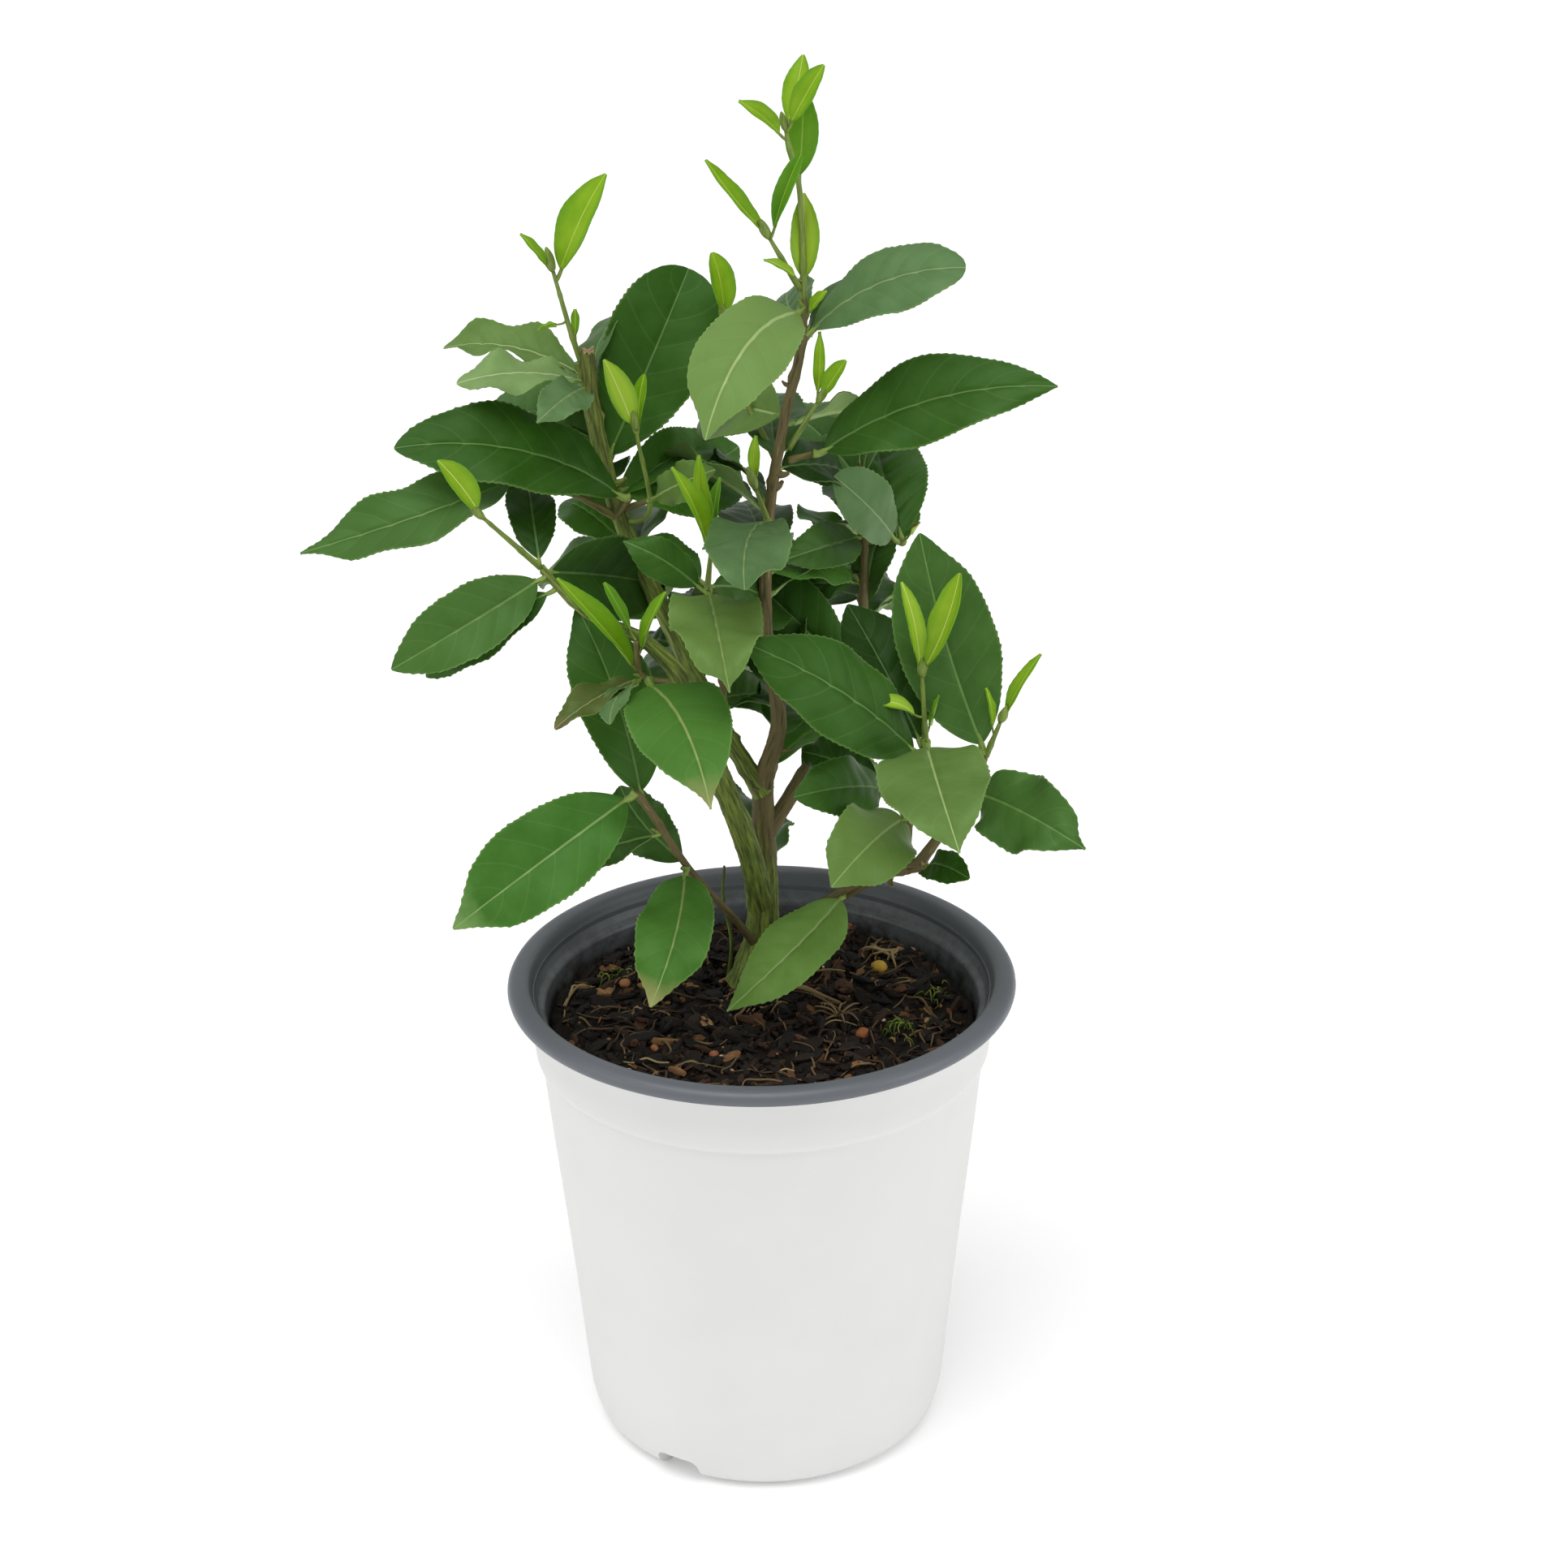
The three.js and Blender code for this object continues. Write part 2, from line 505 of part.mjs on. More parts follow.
const bush = new THREE.Group();
bush.name = "tea_bush";
for (const [name, made] of Object.entries(solids)) {
  const material = FINISH[name] ?? (LIMBS[name] ? BARK : LEAF);
  const mesh = new THREE.Mesh(geometryOf(made), material);
  mesh.name = name;
  bush.add(mesh);
}

export default bush;
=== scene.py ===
"""A potted tea bush, Camellia sinensis: a white nursery pot with a grey liner, bark mix, and a young bush."""

import math
import random

import bmesh
import bpy
from mathutils import Matrix, Vector, noise


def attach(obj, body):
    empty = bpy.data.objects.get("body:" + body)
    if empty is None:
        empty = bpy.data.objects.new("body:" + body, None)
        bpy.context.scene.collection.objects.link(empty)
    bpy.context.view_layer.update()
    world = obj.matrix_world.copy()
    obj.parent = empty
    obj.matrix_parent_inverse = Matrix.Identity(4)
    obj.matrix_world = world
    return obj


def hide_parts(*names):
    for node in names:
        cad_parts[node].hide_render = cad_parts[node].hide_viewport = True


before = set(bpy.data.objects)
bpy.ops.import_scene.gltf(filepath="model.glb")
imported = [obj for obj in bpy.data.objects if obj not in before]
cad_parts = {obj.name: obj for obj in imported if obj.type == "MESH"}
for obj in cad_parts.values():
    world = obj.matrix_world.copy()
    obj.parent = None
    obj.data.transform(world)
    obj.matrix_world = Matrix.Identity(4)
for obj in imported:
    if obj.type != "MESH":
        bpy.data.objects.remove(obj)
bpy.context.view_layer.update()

bl_info = {
    "name": "Potted tea bush",
    "version": (1, 0, 0),
    "blender": (4, 5, 0),
    "location": "View3D > Sidebar > Tea Bush",
    "description": "Models a young tea bush in a nursery pot round its CAD frame",
    "category": "Object",
}

MM = 0.001
BODY = "root"
TURN = 2 * math.pi
GOLDEN_ANGLE = math.radians(137.5)
MIX_A, MIX_B, MIX_OUT = 6, 7, 2  # the colour sockets of a Mix node

# The pot, in millimetres
SOIL_TOP = 117
SOIL_RADIUS = 54.4
SOIL_RINGS = 44
POT_SECTORS = 144
NOTCHES = 6
NOTCH_HEIGHT = 7
NOTCH_ANGLE = math.radians(16)
NOTCH_INNER = 31  # how far in under the floor a notch runs, as a radius
NOTCH_OUTER = 54
NOTCH_BELOW = -5
NOTCH_BEVEL = 2.2
DRAIN_RADIUS = 2.6
DRAIN_CIRCLE = 34
DRAIN_DEPTH = 24
EDGE_EASE = 0.25
EASED_ABOVE = math.radians(32)

# (radius, height) down the outside of the white shell and back up its inside
SHELL_PROFILE = [
    (0, 0), (20, 0), (41, 0), (42.4, 0.5), (44, 1.5), (45.3, 2.8), (46.2, 4.4), (46.9, 6.4), (47.5, 9),
    (48.2, 16),
    (50, 36.5), (52.2, 59), (54.6, 81.5), (57, 106.4), (57.1, 107.6), (58.2, 108.1), (58.5, 109), (58.6, 110),
    (58.9, 115), (59.2, 121), (59.6, 121.6), (59.4, 122.4), (60.9, 124.1), (58.8, 124.1), (57.4, 109.4),
    (55.7, 106), (46.6, 16), (45.4, 11.4), (20, 9.6), (0, 9.6),
]
# The grey liner: up its outside, over the rolled rim, and down past the stacking ledge
LINER_PROFILE = [
    (38, 11.3), (43.9, 11.7), (45.2, 16.4), (55.3, 106), (56.8, 109), (58.2, 123.9), (58.3, 124.4),
    (64.2, 124.4), (64.8, 124.8), (65, 125.6), (64.9, 126.3), (64.4, 127.2), (63.6, 127.75),
    (62.4, 128), (61, 128), (60, 127.7), (59.4, 127), (59, 125.6), (57.5, 121.4), (57, 120.8),
    (56.2, 120.5), (55.7, 120.1), (55.5, 119.2), (54.4, 106), (44.3, 16.4), (43.1, 12.6), (38, 12.2),
]

# Each limb's course in millimetres, its radii along it, and its kind of bark. Most of the courses' points
# were worked out by a separate fitting program and typed in, with small changes.
LIMBS = {
    "trunk": (
        [(-1, 14, 117.3), (0, 15, 130), (1, 17, 150), (1, 17, 173), (5, 15, 190), (2, 15, 215), (3, 16, 244),
         (7, 18, 268), (11, 20, 285), (12, 20, 298)],
        [5.6, 4.4, 3.3, 2.6, 2.0, 1.7, 1.35, 1.25, 1.2, 1.1], "trunk"),
    "green_stem": (
        [(0, 16, 139), (-3, 7, 159), (-11, -1, 186), (-18, -7, 210), (-27, -8, 221), (-42, -5, 228),
         (-52, -2, 238)],
        [3.2, 3, 2.7, 2.3, 1.7, 1.1, 0.9], "green"),
    "left_limb": (
        [(1, 17, 170), (-9, 18, 187), (-23, 22, 216), (-34, 25, 242), (-40, 26, 269), (-41, 26, 284)],
        [2.4, 2.2, 2.3, 2.3, 2.1, 1.9], "snag"),
    "right_limb": (
        [(1, 17, 158), (9, 22, 169), (24, 35, 191), (27, 42, 211), (27, 45, 231), (26, 47, 248)],
        [2.1, 2, 1.6, 1.3, 1.1, 0.9], "brown"),
    "right_low_bough": (
        [(1, 14, 129), (12, 6, 141), (22, 2, 149), (32, -5, 158), (41, -10, 162)],
        [1.9, 1.8, 1.7, 1.9, 1.8], "cut"),
    "right_fork_front": ([(36, -8, 159), (37, -7, 173), (41, -6, 193)], [1.4, 1.3, 1.1], "brown"),
    "right_fork_back": (
        [(39, -9, 161), (46, -8, 171), (53, -6, 181), (56, -5, 190)], [1.4, 1.2, 1, 0.9], "brown"),
    "left_low_twig": (
        [(-1, 14, 127), (-6, 5, 139), (-18, -12, 163), (-27, -17, 181), (-30, -20, 187)],
        [1.2, 1, 0.9, 1, 1.1], "brown"),
    "centre_twig": (
        [(-8, 18, 185), (-9, 12, 202), (-11, 6, 218), (-12, 2, 232)], [1, 0.8, 0.8, 0.8], "brown"),
}


def leaf(at, heading, rise, length, width, roll=0, tint="mid", **shape):
    """One grown leaf: its place on the stem, where it points in degrees, its size, and its own shape."""
    return dict(at=at, heading=heading, rise=rise, length=length, width=width, roll=roll, tint=tint, **shape)


def young(at, heading, rise, length, width, roll=0, tint="young", **shape):
    """One leaf of the new flush, folded along its midrib."""
    return leaf(at, heading, rise, length, width, roll, tint, flush=True, **shape)


# Each mass: the stretches of limb, given by name, and the shoots, given by course, with the leaves that each
# bears. They are listed one by one, and aren't grown by a rule. Most of their headings, rises, lengths,
# widths and rolls were worked out by a separate fitting program and typed in, and some changed by hand.
MASSES = {
    "crown_tip": [
        ("trunk", [
            leaf(0.95, -10, 24, 40, 19, 45, "grey", droop=42, sway=-2.5, peak=0.63),
            leaf(0.99, -121, -26, 47, 21, -25, "pale", droop=75, sway=3, rib=0.4, drip=0.9),
            young(0.97, -30, 50, 7, 3, 65)]),
        ([(12, 20, 297), (11, 22, 324), (8, 22, 337)], [
            young(0.06, 88, 80, 20, 7, tint="young_pale", fold=18),
            young(0.67, 83, 66, 21, 8, fold=15, tint="young_deep"),
            young(0.95, -156, 39, 13, 5, -65),
            young(1, 70, 52, 17, 6, fold=20), young(1, -29, 58, 16, 6, 85, fold=30),
            young(0.12, -140, 30, 11, 3, -50, tint="young_pale")]),
        ([(11, 20, 300), (4, 16, 313)], [
            young(1, -163, 52, 22, 5, -55, fold=45),
            young(1, 17, 68, 18, 5, 45, fold=45, tint="young_deep")]),
    ],
    "upper_right": [
        ("trunk", [
            leaf(0.77, 57, -20, 33, 15, 40, "dark"),
            leaf(0.84, 120, -15, 42, 20, -55, "pale")]),
        ([(8, 18, 258), (14, 17, 260)], [
            leaf(1, -10, 18, 59, 23, 45, "deep", droop=34, sway=-3, fold=10)]),
        ([(8, 18, 261), (15, 16, 273)], [
            young(0.95, -20, 57, 11, 5, 60), young(1, 80, 77, 14, 3)]),
    ],
    "upper_left": [
        ("left_limb", [
            leaf(0.76, 43, 57, 50, 27, 40, "deep", depth=0.4, peak=0.62, droop=22),
            leaf(0.7, 52, 0, 47, 25, 45, "bright", relief=0.6, drip=0.8)]),
        ([(-35, 25, 243), (-27, 21, 247)], [
            leaf(1, -35, 29, 21, 10, 70, "olive", wave=1.2)]),
        ([(-34, 25, 240), (-27, 22, 243), (-29, 18, 266)], [
            young(0.97, -154, 68, 18, 7, -80, fold=12, tint="young_pale"), young(0.95, 69, 69, 12, 4)]),
    ],
    "left_top": [
        ("left_limb", [
            leaf(0.95, 163, 6, 35, 14, -25, "pale", fold=22, sway=2, wave=1.8),
            leaf(0.94, -160, 4, 30, 13, -25, "palest", wave=2),
            leaf(0.93, -114, -5, 24, 11, -30, "grey")]),
        ([(-41, 26, 277), (-44, 25, 287), (-48, 23, 304)], [
            young(0.92, -10, 63, 26, 10, 55, fold=18),
            young(1, -138, 49, 11, 3, -70), young(0.55, 170, -20, 5, 2, tint="young_pale"),
            young(0.3, 90, 70, 6, 2)]),
    ],
    "left_mid": [
        ([(-35, 24, 242), (-31, 21, 248)], [
            leaf(1, -165, 17, 57, 24, -40, "deep", droop=55, sway=2)]),
        ([(-35, 24, 242), (-45, 18, 250), (-57, 12, 256)], [
            leaf(1, -164, -14, 53, 19, -30, "mid", sway=-3, droop=20, drip=1)]),
    ],
    "left_low": [
        ("green_stem", [
            leaf(0.95, -172, -33, 36, 14, -35, "deep"),
            leaf(0.98, -154, -23, 41, 17, -55, "mid", droop=52),
            leaf(0.99, 53, -21, 45, 21, 75, "dark"),
            leaf(1, 100, 26, 29, 12, 0, "dark"),
            young(0.97, 180, -10, 4, 2, tint="young_pale")]),
        ([(-52, -2, 238), (-64, -10, 253)], [
            young(1, -154, 56, 16, 7, -70, fold=20, tint="young_pale")]),
    ],
    "centre": [
        ("centre_twig", [
            leaf(0.95, 173, 31, 21, 10, -60, "deep"),
            leaf(1, 52, -28, 24, 11, 70, "mid"),
            leaf(1, 128, 7, 28, 12, -5, "deep"),
            leaf(0.97, -83, -10, 45, 23, 0, "olive", relief=0.45, wave=2.2, fold=20, drip=1, peak=0.4)]),
        ([(-12, 2, 231), (-11, 2, 240)], [
            young(1, -142, 65, 23, 6, -80, fold=45), young(1, 138, 82, 21, 5, -20, fold=50),
            young(0.8, 60, 75, 17, 4, tint="young_deep")]),
    ],
    "centre_front": [
        ("trunk", [leaf(0.7, -97, -3, 43, 21, 0, "grey", relief=0.4, wave=2.2, sway=2)]),
        ([(3, 15, 243), (0, 14, 252)], [young(1, 87, 78, 10, 3, tint="young")]),
    ],
    "centre_left": [
        ([(-18, -7, 210), (-28, -10, 213), (-29, -10, 222)], [
            leaf(0.45, -72, -14, 50, 24, 15, "tan_tip", droop=40, rib=0.34, drip=1, peak=0.43),
            leaf(0.55, -140, -15, 24, 9, -15, "brown", wave=1.5, fold=25),
            leaf(0.55, -108, -11, 19, 7, 20, "grey"),
            young(0.6, -148, 53, 32, 7, -55, fold=48, droop=20), young(0.8, -32, 64, 17, 4, 65, fold=40),
            young(1, 162, 61, 13, 3, -35, tint="young_deep")]),
    ],
    "right_upper": [
        ("right_limb", [
            leaf(0.82, -129, 4, 32, 13, -50, "mid"), young(1, 90, 80, 7, 2)]),
        ([(27, 45, 228), (37, 44, 228)], [
            leaf(1, 97, 17, 49, 24, -5, "deep", relief=0.6, depth=0.45),
            leaf(0.9, -135, 44, 30, 16, -85, "grey", relief=0.1, peak=0.56, drip=0, wave=0.4),
            young(1, 0, 50, 4, 2, tint="brown")]),
    ],
    "right_inner": [
        ("right_limb", [
            leaf(0.46, 165, 42, 42, 19, -60, "deep"),
            leaf(0.62, 50, 66, 26, 11, 15, "mid"),
            leaf(0.7, 178, 0, 24, 10, -75, "dark")]),
    ],
    "right_mid": [
        ("right_fork_front", [
            leaf(0.9, -159, 38, 56, 23, -55, "deep", droop=40, relief=0.35),
            leaf(0.95, 124, 41, 40, 18, -10, "dark")]),
    ],
    "right_front": [
        ([(41, -6, 193), (40, -5, 210)], [
            leaf(0.02, -84, -7, 49, 27, 5, "pale", droop=34, drip=0.7),
            young(1, 180, 78, 22, 5, -50, fold=25, tint="young_pale"),
            young(1, 27, 68, 24, 8, 25, fold=40, tint="young_pale"),
            young(0.4, -158, 23, 13, 4, -40, droop=60, tint="young_pale"),
            young(0.1, 20, 72, 8, 2, tint="young_deep")]),
    ],
    "right_edge": [
        ("right_fork_back", [
            leaf(0.97, 133, 66, 54, 25, -35, "mid", droop=18, depth=0.4),
            leaf(0.7, -50, -4, 36, 20, 52, "mid", wave=3.2, drip=0.8)]),
        ([(56, -5, 189), (59, -8, 199)], [
            young(1, -14, 63, 18, 4, 50, fold=40), young(0.6, 120, 70, 9, 2)]),
    ],
    "lower_right": [
        ("right_fork_front", [leaf(0.45, -121, -6, 36, 20, -35, "olive", droop=40, wave=2.2)]),
        ([(37, -7, 172), (32, 3, 178)], [
            leaf(0.9, -132, 15, 34, 15, -60, "deep"),
            leaf(1, 139, 3, 25, 11, -50, "dark")]),
    ],
    "foot_right": [
        ("right_low_bough", [
            leaf(0.55, -140, -27, 42, 18, -20, "fresh", sway=-3, droop=45),
            leaf(0.5, 52, 19, 25, 10, 35, "deep"),
            leaf(0.98, -60, 13, 19, 9, 40, "deep", droop=70)]),
    ],
    "lower_left": [
        ("left_low_twig", [
            leaf(0.99, -152, -27, 52, 23, -50, "pale_tip", droop=42, depth=0.4, drip=0.8),
            leaf(0.8, -176, -26, 39, 12, -30, "mid", fold=24),
            leaf(0.93, 126, 57, 48, 20, -30, "deep", depth=0.4)]),
    ],
    "foot_left": [
        ("left_low_twig", [
            leaf(0.62, 125, 20, 30, 14, -30, "mid"),
            leaf(0.63, -103, -29, 39, 19, -5, "tan_tip", droop=24, drip=0.7)]),
    ],
    "back_high": [
        ("left_limb", [
            leaf(0.96, 70, 10, 40, 17, -35), leaf(0.88, 95, 0, 44, 19, -35),
            leaf(0.8, 130, 0, 44, 19, -35), leaf(0.73, 106, -20, 42, 18)]),
    ],
    "back_left": [
        ("left_limb", [
            leaf(0.57, 80, 0, 44, 19, -35), leaf(0.55, 130, -20, 42, 18, -35),
            leaf(0.42, 106, 0, 46, 20, -35), leaf(0.25, 110, -6, 42, 18, -35)]),
    ],
    "back_crown": [
        ("trunk", [
            leaf(0.95, 94, 0, 40, 17, -35), leaf(0.94, 50, 22, 34, 14, -35), leaf(0.83, 40, -8, 36, 15, -35),
            leaf(0.78, 88, 4, 44, 19), leaf(0.71, 130, 0, 42, 18, 35)]),
        ([(5, 24, 256), (-4, 30, 274), (-7, 32, 288)], [young(1, 133, 75, 15, 7, -25)]),
    ],
    "back_centre": [
        ("trunk", [
            leaf(0.64, 98, 0, 44, 19), leaf(0.59, 52, 0, 40, 17, -35), leaf(0.54, 110, -34, 42, 18, -35),
            leaf(0.46, 80, 0, 44, 19, -35)]),
    ],
    "back_right": [
        ("right_limb", [
            leaf(0.96, 118, 10, 42, 18, -35), leaf(0.96, 70, 20, 40, 17, -35), leaf(0.84, 90, -5, 44, 19),
            leaf(0.66, 110, -10, 46, 20, -35), leaf(0.6, 58, -10, 42, 18, -35)]),
    ],
    "back_low": [
        ("right_limb", [
            leaf(0.43, 68, -26, 44, 19, -35), leaf(0.34, 100, -28, 44, 19, -35),
            leaf(0.17, 58, -20, 40, 17, -35)]),
    ],
    "back_foot": [
        ("trunk", [leaf(0.17, 88, -10, 40, 17, -35), leaf(0.23, 125, 4, 40, 17, 35)]),
    ],
}

# Masses at the plant's back that seeded leaves fill out: the limb that bears them, how many there are, and
# the stretch of the limb that they grow on, as shares of its length
FILL = {
    "back_high": ("left_limb", 5, 0.66, 0.97), "back_left": ("left_limb", 6, 0.2, 0.6),
    "back_crown": ("trunk", 3, 0.6, 0.74), "back_centre": ("trunk", 6, 0.3, 0.62),
    "back_right": ("right_limb", 6, 0.5, 0.98), "back_low": ("right_limb", 4, 0.12, 0.45),
}

SHOOT_RADIUS = 0.85
TWIG_RADIUS = 1.05
BUDDING = 0.6  # the share of grown leaves with a bud in their axil
STALK = 3  # how far a blade's base stands off its stem's centre
VEINS = 7  # pairs of side veins
VEIN_SWEEP = 1.3  # how far a side vein runs towards the tip, as a share of the space between veins
VEIN_BEND = 1.2

# Leaf tints: base colour, its lighter patches, a tip of another colour where it has one, and the midrib
TINTS = {
    "dark": ("#1e3a0a", "#2a4a16", None, "#4a6f30"),
    "deep": ("#264a0d", "#34591b", None, "#557a34"),
    "mid": ("#355520", "#43672c", None, "#678b42"),
    "bright": ("#3d6a1c", "#4c7a2c", None, "#74974a"),
    "fresh": ("#62843a", "#73954c", None, "#8ea763"),
    "olive": ("#4f6a2c", "#5e7a3a", None, "#869c58"),
    "grey": ("#4c6a3e", "#5b7a4c", None, "#7d965c"),
    "pale": ("#5d7a3c", "#6c8a48", None, "#9bb26e"),
    "palest": ("#6d8a50", "#7d9a5e", None, "#a8b988"),
    "brown": ("#4a5b28", "#5c6432", "#66583a", "#8a8c58"),
    "tan_tip": ("#3a6420", "#48742c", "#8a8754", "#869c54"),
    "pale_tip": ("#335c1b", "#406e28", "#6f9052", "#7c9c56"),
}
YOUNG_TINTS = {
    "young": ("#6a990a", "#8cb022", None, "#a3bf42"),
    "young_pale": ("#80a41c", "#98b834", None, "#b4cc66"),
    "young_deep": ("#4b8010", "#659622", None, "#86ad3c"),
    "brown": ("#7a4a32", "#8a5c3c", None, "#8a5c3c"),
}
UNDER = ("#6f8c4e", "#80995c")


def linear(hex_colour):
    """An sRGB hex colour as the linear RGBA that Blender's sockets take."""
    channels = [int(hex_colour[i:i + 2], 16) / 255 for i in (1, 3, 5)]
    return tuple(c / 12.92 if c <= 0.04045 else ((c + 0.055) / 1.055) ** 2.4 for c in channels) + (1,)


def colour_property(name, description, hex_colour):
    """A colour that a user can change."""
    return bpy.props.FloatVectorProperty(
        name=name, description=description, subtype="COLOR", size=4, min=0, max=1, default=linear(hex_colour))


class TeaBushPot(bpy.types.PropertyGroup):
    """What a user may change on the pot and its soil."""

    shell_colour: colour_property("Shell", "Colour of the white outer pot", "#dcdcdb")
    liner_colour: colour_property("Liner", "Colour of the grey liner and its rim", "#5e6268")
    soil_colour: colour_property("Soil", "Colour of the peat between the bark", "#1b130c")
    chips: bpy.props.IntProperty(
        name="Bark chips", description="How many bark chips lie on the soil", default=2600, min=0, max=4000)
    fibres: bpy.props.IntProperty(
        name="Fibres", description="How many roots and straws lie on the soil", default=210, min=0, max=400)


class TeaBushPlant(bpy.types.PropertyGroup):
    """What a user may change on the plant."""

    seed: bpy.props.IntProperty(
        name="Seed",
        description="Varies the leaves' waves and curls, the bark, the litter and the filler leaves",
        default=7)
    tooth_depth: bpy.props.FloatProperty(
        name="Tooth depth", description="Depth of the teeth on a leaf's margin, in millimetres",
        default=0.38, min=0, max=2)
    blade_thickness: bpy.props.FloatProperty(
        name="Blade thickness", description="Thickness of a leaf between its ribs", subtype="DISTANCE",
        unit="LENGTH", default=0.0003, min=0.0001, max=0.002)
    rib_thickness: bpy.props.FloatProperty(
        name="Rib thickness", description="Thickness of a leaf at its midrib", subtype="DISTANCE",
        unit="LENGTH", default=0.0009, min=0.0001, max=0.004)
    bark_colour: colour_property("Bark", "Colour of the woody limbs", "#665c38")
    green_bark_colour: colour_property(
        "Green bark", "Colour of the green stem and the trunk's foot", "#6c7e34")


# Materials: each is named for what the real thing is made of


def add(tree, kind, inputs=None, ramp=None, **settings):
    """Adds a node: inputs are values or other nodes' outputs, and ramp the stops of a colour ramp."""
    made = tree.nodes.new(kind)
    for name, value in settings.items():
        setattr(made, name, value)
    for socket, value in (inputs or {}).items():
        if isinstance(value, bpy.types.NodeSocket):
            tree.links.new(value, made.inputs[socket])
        else:
            made.inputs[socket].default_value = value
    if ramp:
        stops = made.color_ramp.elements
        for position, _colour in ramp[2:]:
            stops.new(position)
        for stop, (position, colour) in zip(stops, ramp):
            stop.position = position
            stop.color = linear(colour) if isinstance(colour, str) else colour
    return made


def new_material(name, roughness, specular=0.5):
    """A material with nothing but its surface shader, as (material, tree, shader)."""
    made = bpy.data.materials.new(name)
    made.use_nodes = True
    tree = made.node_tree
    shader = tree.nodes["Principled BSDF"]
    shader.inputs["Roughness"].default_value = roughness
    shader.inputs["Specular IOR Level"].default_value = specular
    return made, tree, shader


def moulded_plastic(name, colour, roughness, dust_and_shade, dust_and_shade_low, dust_and_shade_high):
    """Injection-moulded polypropylene: satin, a faint orange peel, and scuffs that dull it in patches."""
    made, tree, shader = new_material(name, roughness)
    place = add(tree, "ShaderNodeTexCoord").outputs["Object"]
    cloudy = add(tree, "ShaderNodeTexNoise", {
        "Vector": place, "Scale": 38.0, "Detail": 4.0, "Roughness": 0.6})
    shade = add(tree, "ShaderNodeMapRange", {"Value": cloudy.outputs["Fac"], "To Min": 0.955, "To Max": 1.03})
    tinted = add(tree, "ShaderNodeVectorMath", {
        0: tuple(colour[:3]), "Scale": shade.outputs["Result"]}, operation="SCALE")
    # Specks of peat dust, each about half a millimetre across and a few centimetres apart
    cells = add(tree, "ShaderNodeTexVoronoi", {"Vector": place, "Scale": 52.0, "Randomness": 1.0})
    speck = add(tree, "ShaderNodeMapRange", {
        "Value": cells.outputs["Distance"], "From Min": 0.012, "From Max": 0.024, "To Min": 1.0,
        "To Max": 0.0})
    chosen = add(tree, "ShaderNodeMath", {0: cells.outputs["Color"], 1: 0.93}, operation="GREATER_THAN")
    speck_here = add(tree, "ShaderNodeMath", {
        0: speck.outputs["Result"], 1: chosen.outputs["Value"]}, operation="MULTIPLY")
    dirtied = add(tree, "ShaderNodeMix", {
        "Factor": speck_here.outputs["Value"], MIX_A: tinted.outputs["Vector"], MIX_B: linear("#8d8577")},
        data_type="RGBA")
    # Darker in patches towards the soil: peat dust washed up the wall, and painted shade inside the pot,
    # strongest just above the soil
    height = add(tree, "ShaderNodeSeparateXYZ", {"Vector": place}).outputs["Z"]
    near = add(tree, "ShaderNodeMapRange", {
        "Value": height, "From Min": dust_and_shade_low * MM, "From Max": dust_and_shade_high * MM, "To Min": dust_and_shade,
        "To Max": 0.0})
    patches = add(tree, "ShaderNodeTexNoise", {
        "Vector": place, "Scale": 210.0, "Detail": 5.0, "Roughness": 0.7})
    patchy = add(tree, "ShaderNodeMapRange", {
        "Value": patches.outputs["Fac"], "From Min": 0.42, "From Max": 0.62})
    dusty_and_shaded = add(tree, "ShaderNodeMath", {
        0: near.outputs["Result"], 1: patchy.outputs["Result"]}, operation="MULTIPLY")
    final = add(tree, "ShaderNodeMix", {
        "Factor": dusty_and_shaded.outputs["Value"], MIX_A: dirtied.outputs[MIX_OUT], MIX_B: linear("#2e241a")},
        data_type="RGBA")
    tree.links.new(final.outputs[MIX_OUT], shader.inputs["Base Color"])
    dull = add(tree, "ShaderNodeMapRange", {
        "Value": patches.outputs["Fac"], "To Min": roughness - 0.08, "To Max": roughness + 0.12})
    tree.links.new(dull.outputs["Result"], shader.inputs["Roughness"])
    peel = add(tree, "ShaderNodeTexNoise", {"Vector": place, "Scale": 900.0, "Detail": 1.0})
    bump = add(tree, "ShaderNodeBump", {"Height": peel.outputs["Fac"], "Strength": 0.05, "Distance": 0.0002})
    tree.links.new(bump.outputs["Normal"], shader.inputs["Normal"])
    return made


def damp_peat(name, colour):
    """Damp peat and fine bark: near black in its hollows, brown on its crumbs, and only dimly glossy."""
    made, tree, shader = new_material(name, 0.85, 0.3)
    place = add(tree, "ShaderNodeTexCoord").outputs["Object"]
    crumbs = add(tree, "ShaderNodeTexNoise", {
        "Vector": place, "Scale": 420.0, "Detail": 6.0, "Roughness": 0.7})
    dark = tuple(c * 0.35 for c in colour[:3]) + (1,)
    hue = add(tree, "ShaderNodeValToRGB", {"Fac": crumbs.outputs["Fac"]}, ramp=[
        (0.3, dark), (0.52, tuple(colour)), (0.68, "#38281b")])
    tree.links.new(hue.outputs["Color"], shader.inputs["Base Color"])
    grit = add(tree, "ShaderNodeTexNoise", {
        "Vector": place, "Scale": 1100.0, "Detail": 4.0, "Roughness": 0.7})
    bump = add(tree, "ShaderNodeBump", {"Height": grit.outputs["Fac"], "Strength": 0.9, "Distance": 0.0006})
    tree.links.new(bump.outputs["Normal"], shader.inputs["Normal"])
    return made


